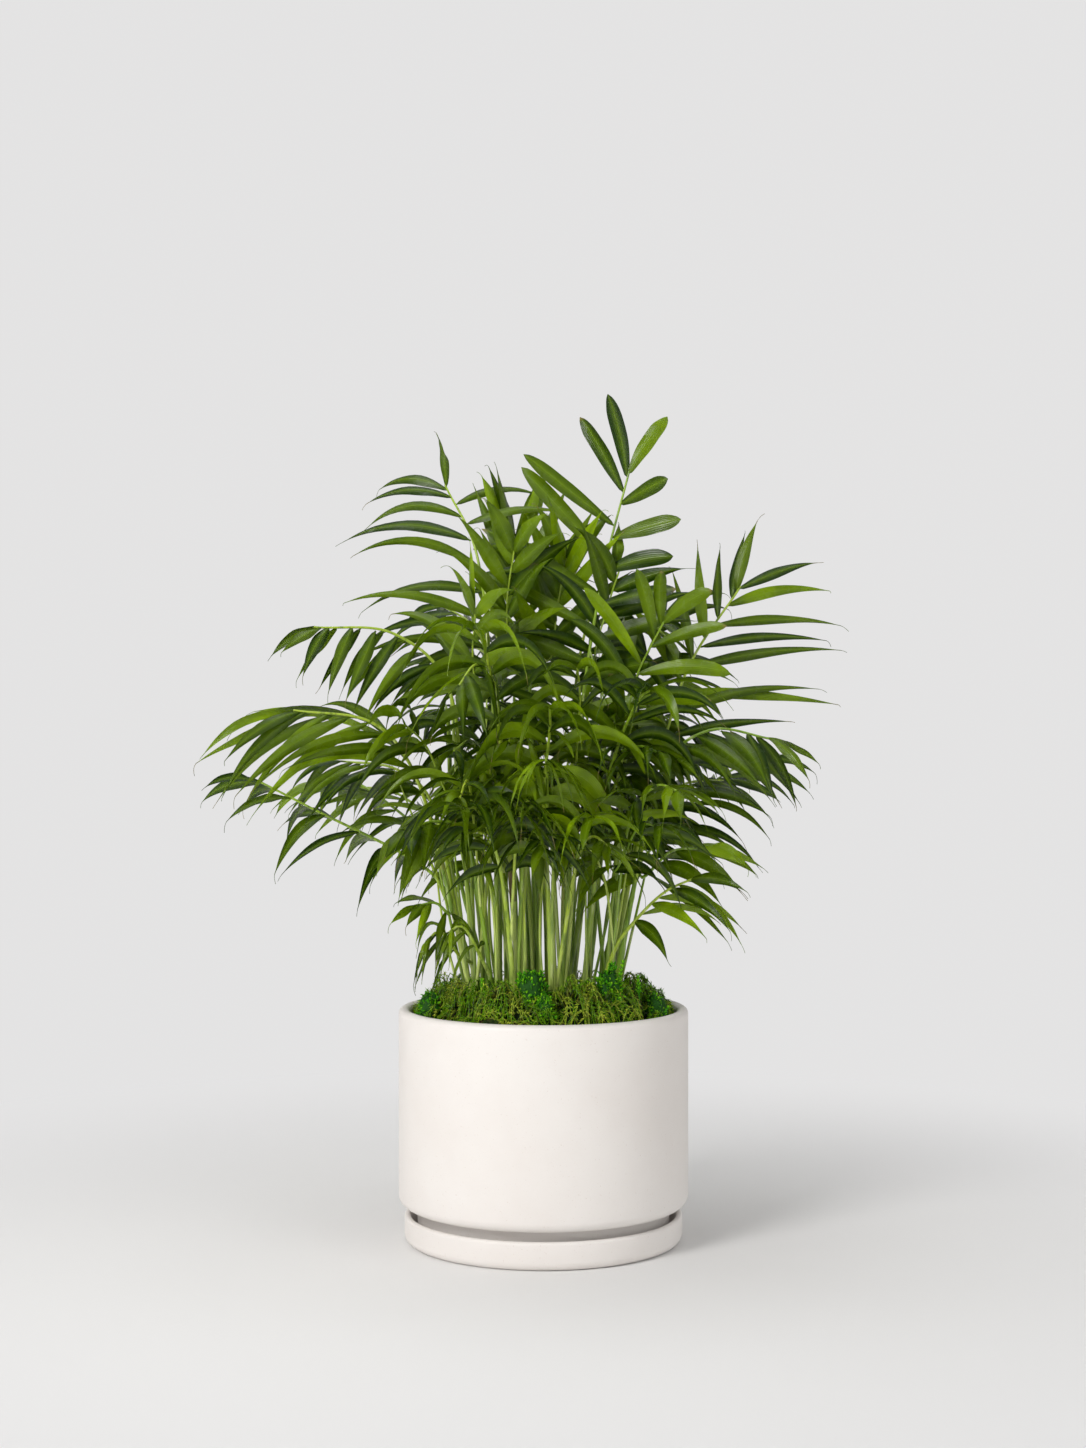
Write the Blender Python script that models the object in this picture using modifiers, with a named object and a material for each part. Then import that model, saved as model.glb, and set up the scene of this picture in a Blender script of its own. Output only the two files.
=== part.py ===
"""Potted parlor palm: a clump of young parlor palms in a matt ceramic cylinder pot with its saucer.

Metres, +Z up. The origin is the middle of the saucer's underside, and -Y faces the viewer.
The pot stands in the saucer on a foot ring, soil fills the pot, moss lies on the soil, and each
palm is one leafy stem that stands in its own hole in the soil: a cane that runs on as the rib of
a frond, with its leaflets, and on some palms a smaller frond that forks from the cane.
"""

import math
import random
from collections import namedtuple

import bmesh
import bpy
import numpy as np
from mathutils import Matrix, Vector
from mathutils.bvhtree import BVHTree

# Pot and saucer
TURN_STEPS = 36
POT_RADIUS = 0.100
POT_TOP = 0.1605
POT_WALL = 0.008
SKIRT_Z = 0.0255
SKIRT_ROUND = 0.007
FOOT_RADIUS = 0.0870
FOOT_RING = 0.009
FOOT_RECESS = 0.0025
POT_FLOOR = 0.009
DRAIN_RADIUS = 0.008
SAUCER_RADIUS = 0.096
SAUCER_TOP = 0.0192
SAUCER_WALL = 0.0046
SAUCER_FLOOR = 0.005
SAUCER_ROUND = 0.006
REST_GAP = 0.0003

# What fills the pot
SHOULDER_Z = 0.142
DOME_RADIUS = 0.056
DOME_TOP = 0.166
DOME_EDGE = 0.154
DOME_BATTER = 0.002
STEM_DEPTH = 0.023
HOLE_SIDES = 5
HOLE_OVER = 0.004
MOSS_INNER = 0.0590
MOSS_OUTER = POT_RADIUS - POT_WALL - REST_GAP
MOSS_LOW = 0.010
MOSS_HIGH = 0.034
MOSS_EDGE = 0.45
MOSS_BUMP = 0.0025
MOSS_SECTION = 8
TUFT_SEAT = 0.160
TUFT_PLAY = 0.001
TUFT_LUMPS = 0.14
TUFT_CUT = -0.75

# Stems, in radii from the cane's foot to the rib's tip
CANE_RADIUS = 0.0025
PETIOLE_RADIUS = 0.0016
RIB_RADIUS = 0.0012
RIB_TIP_RADIUS = 0.0009
KNOT_STEPS = 16
CANE_POINTS = 4
FORK_POINTS = 3
RIB_POINTS = 5
START_RISE = 0.002
CANE_RISE = 0.012
PETIOLE_AT = 0.55
FORK_SHARE = 0.9
TILT = math.radians(70)

# Leaflets
LINE_STEPS = 16
BLADE_CORNERS = 3
BLADE_STATIONS = (0.0, 0.0, 0.34, 0.70, 1.0)
UNION_SOLVER = "MANIFOLD"
SHARP_FROM = math.radians(35)
BLADE_THICK = 0.0014
CLEAR_GAP = 0.0005
STEM_GAP = 0.0010
FREE_FROM = 0.12
TERMINAL_ANGLE = 24.0
TERMINAL_LIFT = 0.3
TERMINAL_WIDEST = 0.08
TERMINAL_BACK = (3.0, 6.0)
TERMINAL_ROOT = 1.1
TERMINAL_APART = 0.00035
FIRST_ANGLE = 66.0
LAST_ANGLE = 36.0
ROOT_RING = (0.4, 0.25, 0.2)
LEAFLET_SEED = 7
DRAWN_ANGLE = 9.0
DRAWN_RISE = 11.0
DRAWN_TWIST = 30.0
DRAWN_DROOP = 0.40
DRAWN_SIZE = 0.10

Tuft = namedtuple("Tuft", "name place radius top")
TUFTS = (
    Tuft("moss_tuft_front", (-0.008, -0.0730), 0.0130, 0.190),
    Tuft("moss_tuft_right", (0.043, -0.0600), 0.0115, 0.188),
)

# A frond: its neck, where the lowest leaflets grow, its bow and its tip; the compass angle that its
# right-hand leaflets point to; its leaflets' number of pairs, greatest length, greatest width, lift
# out of the frond's plane in degrees and droop under their weight; how many degrees further forward
# they point than usual; where they are widest; and for its right-hand and its left-hand leaflets how
# long they are beside the usual length and how many degrees further forward they point.
FROND_FIELDS = "neck bow tip spread pairs length width lift droop forward widest right left"
Frond = namedtuple("Frond", FROND_FIELDS, defaults=(0, 0.36, (1.0, 0), (1.0, 0)))
# A palm: its node, its foot on the soil, its frond, and a second frond with the share of the cane's
# height that it forks at.
Palm = namedtuple("Palm", "name foot frond second fork", defaults=(None, 0))

FRONT_PALMS = (
    Palm("palm_tall_right", (0.012, -0.012), Frond(
        (0.026, -0.020, 0.366), (0.040, -0.026, 0.455), (0.0585, -0.024, 0.5285),
        -20, 8, 0.084, 0.0145, 8, 0.15, 2, 0.48, (0.70, -12), (1.12, -14))),
    Palm("palm_right", (0.043, 0.000), Frond(
        (0.080, 0.004, 0.330), (0.101, 0.006, 0.396), (0.1375, 0.010, 0.452),
        0, 9, 0.102, 0.0092, 0, 0.38, -4, 0.36, (1.0, 0), (0.70, 12)), Frond(
        (0.066, -0.018, 0.252), (0.086, -0.028, 0.269), (0.104, -0.036, 0.272),
        -80, 4, 0.076, 0.0130, -20, 0.8, 14), 0.46),
    Palm("palm_top_left", (-0.030, 0.004), Frond(
        (-0.036, 0.010, 0.382), (-0.0464, 0.014, 0.4735), (-0.070, 0.044, 0.526),
        0, 9, 0.098, 0.0088, 6, 0.95, -4, 0.36, (0.90, -40), (1.0, 0))),
    Palm("palm_left_high", (-0.046, -0.010), Frond(
        (-0.064, -0.020, 0.378), (-0.101, -0.032, 0.417), (-0.154, -0.048, 0.421),
        75, 8, 0.061, 0.0090, -42, 0.8, -6)),
    Palm("palm_left", (-0.046, -0.028), Frond(
        (-0.086, -0.050, 0.322), (-0.114, -0.062, 0.357), (-0.164, -0.080, 0.365),
        70, 8, 0.112, 0.0092, -24, 0.85, 18), Frond(
        (-0.062, -0.040, 0.228), (-0.072, -0.048, 0.236), (-0.083, -0.055, 0.235),
        60, 3, 0.040, 0.0080, -30, 1.2), 0.40),
    Palm("palm_left_low", (-0.032, -0.040), Frond(
        (-0.052, -0.064, 0.283), (-0.070, -0.078, 0.292), (-0.090, -0.094, 0.287),
        50, 5, 0.058, 0.0120, -34, 0.9, 4)),
    Palm("palm_left_behind", (-0.050, 0.010), Frond(
        (-0.078, 0.006, 0.302), (-0.104, 0.012, 0.325), (-0.142, 0.018, 0.330),
        90, 6, 0.084, 0.0078, -20, 1.4, 8)),
    Palm("palm_right_arch", (0.046, -0.022), Frond(
        (0.080, -0.035, 0.325), (0.112, -0.047, 0.352), (0.152, -0.058, 0.346),
        -110, 6, 0.076, 0.0092, -30, 1.0, 8)),
    Palm("palm_right_low", (0.034, -0.034), Frond(
        (0.061, -0.052, 0.224), (0.080, -0.062, 0.244), (0.099, -0.070, 0.254),
        -100, 4, 0.066, 0.0090, -26, 0.8, 16)),
    Palm("palm_right_behind", (0.047, 0.020), Frond(
        (0.070, 0.032, 0.285), (0.098, 0.046, 0.312), (0.130, 0.060, 0.316),
        -60, 6, 0.072, 0.0098, -10, 0.9)),
    Palm("palm_middle_top", (-0.004, 0.012), Frond(
        (-0.010, 0.018, 0.392), (-0.014, 0.026, 0.448), (-0.020, 0.034, 0.488),
        20, 6, 0.088, 0.0135, 14, 0.10, 28, 0.48)),
    Palm("palm_front", (0.006, -0.046), Frond(
        (0.000, -0.066, 0.306), (0.004, -0.084, 0.350), (0.004, -0.116, 0.366),
        0, 6, 0.076, 0.0130, -24, 3.2, -4)),
    Palm("palm_middle_left", (-0.016, -0.024), Frond(
        (-0.030, -0.046, 0.352), (-0.038, -0.078, 0.404), (-0.044, -0.116, 0.417),
        -5, 6, 0.080, 0.0125, -16, 2.6)),
    Palm("palm_middle_right", (0.026, -0.018), Frond(
        (0.045, -0.050, 0.325), (0.060, -0.084, 0.368), (0.068, -0.122, 0.378),
        -5, 6, 0.076, 0.0110, -20, 2.0)),
    Palm("palm_front_left", (-0.018, -0.044), Frond(
        (-0.030, -0.080, 0.268), (-0.042, -0.112, 0.300), (-0.050, -0.148, 0.302),
        -15, 6, 0.074, 0.0120, -20, 2.4)),
    Palm("palm_right_upper", (0.030, 0.012), Frond(
        (0.052, 0.022, 0.352), (0.072, 0.036, 0.402), (0.088, 0.056, 0.437),
        -30, 5, 0.078, 0.0100, 6, 0.9)),
)

# Palms of the far side and the middle, drawn by rule
BACK_SEED = 11
BACK_COUNT = 12
BACK_PAIRS = 6
BACK_LIFT = 8
BACK_HEADINGS = (-12.0, 192.0)
BACK_LEVELS = (0.27, 0.32, 0.37)
BACK_LEVEL_DRAWN = (0.92, 1.06)
BACK_REACH_LOW = (0.25, 0.110)
BACK_REACH_HIGH = (0.39, 0.035)
BACK_REACH_DRAWN = (0.75, 1.15)
BACK_NECK_REACH = 0.35
BACK_BOW_RISE = (0.040, 0.062)
BACK_TIP_REACH = (0.030, 0.050)
BACK_TIP_RISE = (-0.006, 0.030)
BACK_SPREAD = 14
BACK_LENGTH = (0.068, 0.082)
BACK_WIDTH = (0.0088, 0.0108)
BACK_DROOP = (0.9, 1.8)
FEET_APART = 0.0098
FEET_WITHIN = 0.048
FEET_SHARES = (0.15, 0.95)

# Finishes: a colour and a roughness
LEAF = ((0.060, 0.150, 0.012), 0.4)
MOSS = ((0.085, 0.170, 0.018), 0.9)
BRIGHT_MOSS = ((0.100, 0.330, 0.020), 0.8)
SOIL = ((0.035, 0.022, 0.014), 0.95)
CERAMIC = ((0.86, 0.82, 0.79), 0.55)


def blend(a, b, share):
    """The value that lies share of the way from a to b."""
    return a + (b - a) * share


def compass(degrees):
    """The level direction at a compass angle, 0 along +X and 90 along +Y."""
    return Vector((math.cos(math.radians(degrees)), math.sin(math.radians(degrees)), 0.0))


def clear_scene():
    for obj in list(bpy.data.objects):
        bpy.data.objects.remove(obj)


def collection(name):
    made = bpy.data.collections.new(name)
    bpy.context.scene.collection.children.link(made)
    return made


def material(name, colour, roughness):
    made = bpy.data.materials.new(name)
    made.use_nodes = True
    made.diffuse_color = (*colour, 1.0)
    shader = made.node_tree.nodes["Principled BSDF"]
    shader.inputs["Base Color"].default_value = (*colour, 1.0)
    shader.inputs["Roughness"].default_value = roughness
    shader.inputs["Metallic"].default_value = 0.0
    return made


def mesh_object(name, bm, home, finish=None):
    """A new object from a bmesh, which is freed, with a material of its own."""
    mesh = bpy.data.meshes.new(name)
    bm.to_mesh(mesh)
    bm.free()
    obj = bpy.data.objects.new(name, mesh)
    home.objects.link(obj)
    if finish:
        mesh.materials.append(material(name + " finish", *finish))
    return obj


# Turned pieces


def arc(centre, radius, start, end, steps):
    """Points (r, z) of an arc in the profile's plane, angles in degrees from +r towards +z."""
    angles = [math.radians(blend(start, end, k / steps)) for k in range(steps + 1)]
    return [(centre[0] + radius * math.cos(a), centre[1] + radius * math.sin(a)) for a in angles]


def turned(name, profile, closed, home, finish):
    """A profile of (r, z) points turned about Z: it runs down its outer side, top to bottom."""
    bm = bmesh.new()
    corners = [bm.verts.new((r, 0.0, z)) for r, z in profile]
    for a, b in zip(corners, corners[1:] + corners[:1] if closed else corners[1:]):
        bm.edges.new((a, b))
    obj = mesh_object(name, bm, home, finish)
    screw = obj.modifiers.new("turned", "SCREW")
    screw.steps = TURN_STEPS
    screw.render_steps = TURN_STEPS
    screw.use_merge_vertices = True
    screw.merge_threshold = 0.00001
    screw.use_smooth_shade = True
    return obj


def make_saucer(home, finish):
    lip = SAUCER_WALL / 2
    inner = SAUCER_RADIUS - SAUCER_WALL
    profile = [(0.0, SAUCER_FLOOR), (inner - 0.004, SAUCER_FLOOR), (inner, SAUCER_FLOOR + 0.004)]
    profile += arc((SAUCER_RADIUS - lip, SAUCER_TOP - lip), lip, 180, 0, 4)
    profile += arc((SAUCER_RADIUS - SAUCER_ROUND, SAUCER_ROUND), SAUCER_ROUND, 0, -90, 3)
    profile += [(0.0, 0.0)]
    return turned("saucer", profile, False, home, finish)


def make_pot(home, finish):
    lip = POT_WALL / 2
    foot_z = SAUCER_FLOOR + REST_GAP
    floor_z = foot_z + FOOT_RECESS + POT_FLOOR
    inner = POT_RADIUS - POT_WALL
    neck = POT_RADIUS - SKIRT_ROUND
    profile = arc((POT_RADIUS - lip, POT_TOP - lip), lip, 90, 0, 2)
    profile += arc((neck, SKIRT_Z + SKIRT_ROUND), SKIRT_ROUND, 0, -90, 3)
    profile += [(FOOT_RADIUS, SKIRT_Z), (FOOT_RADIUS, foot_z)]
    profile += [(FOOT_RADIUS - FOOT_RING, foot_z), (FOOT_RADIUS - FOOT_RING, foot_z + FOOT_RECESS)]
    profile += [(DRAIN_RADIUS, foot_z + FOOT_RECESS), (DRAIN_RADIUS, floor_z)]
    profile += [(FOOT_RADIUS - POT_WALL, floor_z), (inner, SKIRT_Z + POT_WALL)]
    profile += arc((POT_RADIUS - lip, POT_TOP - lip), lip, 180, 90, 2)[:-1]
    return turned("pot", profile, True, home, finish)


def soil_height(r):
    """The soil's surface: a low cone that the palms stand in, and a level shoulder round it."""
    if r >= DOME_RADIUS:
        return SHOULDER_Z
    return blend(DOME_TOP, DOME_EDGE, r / DOME_RADIUS)


def make_soil(home, finish, feet, cutters):
    """The soil, with a plain blind hole for each palm."""
    inner = POT_RADIUS - POT_WALL - REST_GAP
    floor_z = SAUCER_FLOOR + FOOT_RECESS + POT_FLOOR + REST_GAP * 2
    low = SKIRT_Z + POT_WALL + REST_GAP
    profile = [(0.0, DOME_TOP)]
    profile += [(DOME_RADIUS - DOME_BATTER, DOME_EDGE), (DOME_RADIUS, SHOULDER_Z), (inner, SHOULDER_Z)]
    profile += [(inner, low), (FOOT_RADIUS - POT_WALL - REST_GAP, floor_z), (0.0, floor_z)]
    soil = turned("soil", profile, False, home, finish)
    radius = (CANE_RADIUS + REST_GAP) / math.cos(math.pi / HOLE_SIDES)
    bm = bmesh.new()
    for x, y in feet:
        top = soil_height(math.hypot(x, y)) + HOLE_OVER
        low = soil_height(math.hypot(x, y)) - STEM_DEPTH - REST_GAP
        bmesh.ops.create_cone(
            bm, cap_ends=True, segments=HOLE_SIDES, radius1=radius, radius2=radius,
            depth=top - low, matrix=Matrix.Translation((x, y, (top + low) / 2)),
        )
    holes = mesh_object("stem_holes", bm, cutters)
    holes.hide_render = True
    holes.display_type = "WIRE"
    cut = soil.modifiers.new("stem holes", "BOOLEAN")
    cut.operation = "DIFFERENCE"
    cut.object = holes
    return soil


def moss_top(r, angle):
    """The moss's upper side, higher towards the stems, with lumps raised by a formula."""
    share = (MOSS_OUTER - r) / (MOSS_OUTER - MOSS_INNER)
    lumps = math.sin(7 * angle + 9 * share) + 0.7 * math.sin(12 * angle - 7 * share + 1.0)
    edge = math.sin(math.pi * min(max(share, 0.0), 1.0)) ** 0.35
    return SHOULDER_Z + (blend(MOSS_LOW, MOSS_HIGH, share) + MOSS_BUMP * lumps) * max(edge, MOSS_EDGE)


def make_moss(home, finish, cutters):
    """The mat of moss on the soil's shoulder, with a level seat cut for each tuft."""
    bpy.ops.mesh.primitive_torus_add(
        major_segments=TURN_STEPS, minor_segments=MOSS_SECTION,
        major_radius=(MOSS_INNER + MOSS_OUTER) / 2, minor_radius=(MOSS_OUTER - MOSS_INNER) / 2,
    )
    mat = bpy.context.object
    mat.name = "moss"
    mat.data.materials.append(material("moss finish", *finish))
    for old in list(mat.users_collection):
        old.objects.unlink(mat)
    home.objects.link(mat)
    bottom = SHOULDER_Z + REST_GAP
    for corner in mat.data.vertices:
        x, y, z = corner.co
        r, angle = math.hypot(x, y), math.atan2(y, x)
        corner.co.z = moss_top(r, angle) if z > -1e-5 else bottom
    bm = bmesh.new()
    for tuft in TUFTS:
        place = Matrix.Translation((*tuft.place, (TUFT_SEAT + tuft.top) / 2))
        bmesh.ops.create_cone(
            bm, cap_ends=True, segments=10, radius1=tuft.radius + TUFT_PLAY,
            radius2=tuft.radius + TUFT_PLAY, depth=tuft.top - TUFT_SEAT, matrix=place,
        )
    seats = mesh_object("tuft_seats", bm, cutters)
    seats.hide_render = True
    seats.display_type = "WIRE"
    cut = mat.modifiers.new("tuft seats", "BOOLEAN")
    cut.operation = "DIFFERENCE"
    cut.object = seats
    return mat


def make_tuft(tuft, home, finish):
    """A lumpy dome of moss with a flat underside."""
    bm = bmesh.new()
    bmesh.ops.create_uvsphere(bm, u_segments=9, v_segments=8, radius=1.0)
    base = TUFT_SEAT + REST_GAP
    for corner in bm.verts:
        x, y, z = corner.co
        lump = 1 - TUFT_LUMPS * (1 - math.sin(3 * math.atan2(y, x) + 4 * z)) / 2
        share = (max(z, TUFT_CUT) - TUFT_CUT) / (1 - TUFT_CUT)
        corner.co = (tuft.radius * lump * x, tuft.radius * lump * y, share * (tuft.top - base))
    dome = mesh_object(tuft.name, bm, home, finish)
    dome.location = (*tuft.place, base)
    return dome


# Stems


def smooth_line(knots):
    """A fine line along a Catmull-Rom curve through the knots, with KNOT_STEPS steps between two."""
    knots = [Vector(k) for k in knots]
    ends = [2 * knots[0] - knots[1], *knots, 2 * knots[-1] - knots[-2]]
    fine = []
    for a, b, c, d in zip(ends, ends[1:], ends[2:], ends[3:]):
        for step in range(KNOT_STEPS):
            t = step / KNOT_STEPS
            bend = (2 * a - 5 * b + 4 * c - d) + t * (3 * (b - c) + d - a)
            fine.append(b + 0.5 * t * ((c - a) + t * bend))
    fine.append(knots[-1])
    return fine


def lengths_along(points):
    """How far along the line each of its points lies."""
    steps = [(q - p).length for p, q in zip(points, points[1:])]
    return np.concatenate([[0], np.cumsum(steps)])


def evenly(points, count):
    """Points evenly spaced along a line, both its ends included."""
    reach = lengths_along(points)
    places = np.linspace(0, reach[-1], count)
    return [Vector(p) for p in zip(*(np.interp(places, reach, [q[k] for q in points]) for k in range(3)))]


class Stem:
    """The line and the radii of a cane with the rib that it runs on as, or of a fork from it."""

    def __init__(self, start, frond, fork_from=None):
        knots = [start, frond.neck, frond.bow, frond.tip]
        if not fork_from:
            knots.insert(1, blend(Vector(start), Vector(frond.neck), 0.5) + Vector((0, 0, CANE_RISE)))
        line = smooth_line(knots)
        neck = (len(knots) - 3) * KNOT_STEPS
        cane_points = FORK_POINTS if fork_from else CANE_POINTS
        self.frond = frond
        self.points = evenly(line[:neck + 1], cane_points)[:-1] + evenly(line[neck:], RIB_POINTS)
        self.reach = lengths_along(self.points)
        self.neck_at = self.reach[cane_points - 1] / self.reach[-1]
        stations = (0.0, PETIOLE_AT * self.neck_at, self.neck_at, 1.0)
        radii = (CANE_RADIUS, PETIOLE_RADIUS, RIB_RADIUS, RIB_TIP_RADIUS)
        limit = FORK_SHARE * fork_from if fork_from else CANE_RADIUS
        shares = self.reach / self.reach[-1]
        self.radii = [min(float(np.interp(s, stations, radii)), limit) for s in shares]
        self.buried = not fork_from

    def at(self, share):
        """The point, the direction and the radius at a share of the stem's length."""
        place = share * self.reach[-1]
        i = int(np.searchsorted(self.reach, place, side="right")) - 1
        i = min(max(i, 0), len(self.points) - 2)
        part = (place - self.reach[i]) / (self.reach[i + 1] - self.reach[i])
        before = self.points[max(i - 1, 0)]
        after = self.points[min(i + 2, len(self.points) - 1)]
        run = blend(self.points[i + 1] - before, after - self.points[i], part).normalized()
        return blend(self.points[i], self.points[i + 1], part), run, blend(*self.radii[i:i + 2], part)

    def mesh(self):
        """A tapered tube with welded caps, made from a curve that is then removed."""
        points, radii = list(self.points), list(self.radii)
        if self.buried:
            points.insert(0, points[0] - Vector((0, 0, STEM_DEPTH + START_RISE)))
            radii.insert(0, radii[0])
        data = bpy.data.curves.new("stem", "CURVE")
        data.dimensions = "3D"
        data.bevel_depth = 1.0
        data.bevel_resolution = 0
        data.use_fill_caps = True
        spline = data.splines.new("POLY")
        spline.points.add(len(points) - 1)
        for target, place, radius in zip(spline.points, points, radii):
            target.co = (*place, 1.0)
            target.radius = radius
            target.tilt = TILT
        obj = bpy.data.objects.new("stem", data)
        bpy.context.scene.collection.objects.link(obj)
        made = bpy.data.meshes.new_from_object(obj.evaluated_get(bpy.context.evaluated_depsgraph_get()))
        bpy.data.objects.remove(obj)
        bpy.data.curves.remove(data)
        bm = bmesh.new()
        bm.from_mesh(made)
        bpy.data.meshes.remove(made)
        bmesh.ops.remove_doubles(bm, verts=bm.verts, dist=0.00001)
        return bm


def stems_of(palm):
    """A palm's main stem, and the fork that carries its second frond."""
    foot = Vector((*palm.foot, soil_height(math.hypot(*palm.foot)) + START_RISE))
    stems = [Stem(foot, palm.frond)]
    if palm.second:
        place, _, radius = stems[0].at(palm.fork)
        stems.append(Stem(place, palm.second, fork_from=radius))
    return stems


# Leaflets

Leaflet = namedtuple("Leaflet", "root run across droop length width widest twist root_width")


def length_share(t):
    """How long a leaflet is beside the longest one, from the neck at 0 to the tip at 1."""
    if t < 0.35:
        return 1 - 0.22 * ((0.35 - t) / 0.35) ** 2
    return 1 - 0.38 * ((t - 0.35) / 0.65) ** 1.6


def width_share(s, widest):
    """How wide a blade is beside its widest place, from its root at 0 to its tip at 1."""
    if s < widest:
        return 0.30 + 0.70 * math.sin(math.pi / 2 * s / widest)
    past = (s - widest) / (1 - widest)
    return max(math.cos(math.pi / 2 * past) ** 0.85 * (1 - 0.25 * past), 0.0)


def leaflet_line(leaf):
    """The blade's middle line as it sags: its points, and its direction at each."""
    place, points, runs = leaf.root.copy(), [leaf.root.copy()], []
    step = leaf.length / LINE_STEPS
    for i in range(LINE_STEPS):
        s = (i + 0.5) / LINE_STEPS
        run = (leaf.run + Vector((0, 0, -leaf.droop * s**1.4))).normalized()
        runs.append(run)
        place = place + run * step
        points.append(place)
    runs.append(runs[-1])
    return points, runs


def blade(leaf, grow=0.0, start=0.0):
    """A leaflet: a three-sided sphere drawn out into a keeled blade.

    For a test it is swollen by grow, or starts some way out from the rib.
    """
    points, runs = leaflet_line(leaf)
    root_half, root_high, root_end = (leaf.root_width * share for share in ROOT_RING)
    bm = bmesh.new()
    rings = len(BLADE_STATIONS) - 1
    bmesh.ops.create_uvsphere(bm, u_segments=BLADE_CORNERS, v_segments=rings, radius=1.0)
    for corner in bm.verts:
        ring = round(math.acos(max(-1.0, min(1.0, corner.co.z))) / math.pi * rings)
        around = math.atan2(corner.co.y, corner.co.x)
        s = max(BLADE_STATIONS[ring], start)
        i = min(int(s * LINE_STEPS), LINE_STEPS - 1)
        middle = blend(points[i], points[i + 1], s * LINE_STEPS - i)
        run = blend(runs[i], runs[i + 1], s * LINE_STEPS - i).normalized()
        across = (leaf.across - run * leaf.across.dot(run)).normalized()
        across = Matrix.Rotation(math.radians(leaf.twist) * s, 3, run) @ across
        up = across.cross(run)
        if ring == 0:
            corner.co = middle - run * (root_end + grow)
            continue
        if ring == rings:
            corner.co = middle + run * grow
            continue
        half = leaf.width * width_share(s, leaf.widest) / 2 + grow
        low, high = 0.0, BLADE_THICK
        if ring == 1:
            half, low, high = root_half + grow, -root_high, root_high
        rise = blend(low - grow, high + grow, (math.sin(around) + 0.5) / 1.5)
        corner.co = middle + across * half * math.cos(around) / math.cos(math.pi / 6) + up * rise
    return bm


def leaflet_places(pairs):
    """(share of the rib, side, last pair or not) of each leaflet, the sides a little out of step."""
    for k in range(pairs):
        for side in (1, -1):
            t = (k + (0.0 if side > 0 else 0.35)) / (pairs - 1)
            yield min(t, 1.0), side, k == pairs - 1


def ways_aside():
    """How a leaflet is bent aside, mildest first: degrees forward, degrees up, share of its length."""
    ways = [
        (turn, lift, share)
        for turn in (0, 7, -7, 14, -14, 22, -22)
        for lift in (0, 8, -8, 16, -16, 26, -26, 38, -38)
        for share in (1.0, 0.85, 0.7, 0.5)
    ]
    return sorted(ways, key=lambda way: abs(way[0]) + abs(way[1]) + 90 * (1 - way[2]))


WAYS_ASIDE = ways_aside()


def make_leaflet(stem, t, side, last, draw, way=(0, 0, 1.0)):
    """One leaflet at share t of the rib, on the right (side 1) or left (side -1), bent aside a way.

    The two sides of the last pair differ in length half as much as the others do.
    """
    frond = stem.frond
    turn, lift, share = way
    root, run, radius = stem.at(blend(stem.neck_at, 1.0, t))
    toward = compass(frond.spread)
    right = (toward - run * toward.dot(run)).normalized()
    out = right.cross(run)
    longer, further = frond.right if side > 0 else frond.left
    usual = TERMINAL_ANGLE if last else blend(FIRST_ANGLE, LAST_ANGLE, t) - frond.forward - further
    angle = math.radians(usual + DRAWN_ANGLE * draw[0] - turn)
    rise = math.radians(frond.lift * (TERMINAL_LIFT if last else 1.0) + DRAWN_RISE * draw[1] + lift)
    flat = math.cos(angle) * run + math.sin(angle) * side * right
    if last:
        longer = (1 + longer) / 2
        root = root - run * radius * TERMINAL_BACK[side < 0] + out * side * TERMINAL_APART
    return Leaflet(
        root=root,
        run=math.cos(rise) * flat + math.sin(rise) * out,
        across=-side * run,
        droop=frond.droop * (1 + DRAWN_DROOP * draw[2]),
        length=frond.length * length_share(t) * (1 + DRAWN_SIZE * draw[3]) * longer * share,
        width=frond.width * (1 + DRAWN_SIZE * draw[4]),
        widest=frond.widest + (TERMINAL_WIDEST if last else 0.0),
        twist=DRAWN_TWIST * draw[5],
        root_width=radius * (TERMINAL_ROOT if last else 2.0),
    )


class Thicket:
    """What already grows, so that the next piece can be bent clear of it."""

    def __init__(self):
        self.grown = []

    def add(self, owner, bm, kind="solid"):
        places = np.array([v.co for v in bm.verts])
        self.grown.append((owner, kind, places.min(axis=0), places.max(axis=0), BVHTree.FromBMesh(bm)))
        bm.free()

    def crosses(self, bm, wanted):
        """Whether this piece crosses one whose owner and kind are wanted."""
        places = np.array([v.co for v in bm.verts])
        low, high = places.min(axis=0), places.max(axis=0)
        tree = BVHTree.FromBMesh(bm)
        bm.free()
        for owner, kind, other_low, other_high, other_tree in self.grown:
            if not wanted(owner, kind) or (low > other_high).any() or (high < other_low).any():
                continue
            if tree.overlap(other_tree):
                return True
        return False

    def crosses_others(self, name, bm):
        return self.crosses(bm, lambda owner, kind: owner != name)

    def crosses_siblings(self, name, bm):
        return self.crosses(bm, lambda owner, kind: owner == name and kind == "leaflet")


def swollen(bm, grow):
    """The bmesh with its corners moved out along their normals."""
    bm.normal_update()
    for corner in bm.verts:
        corner.co += corner.normal * grow
    return bm


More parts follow.
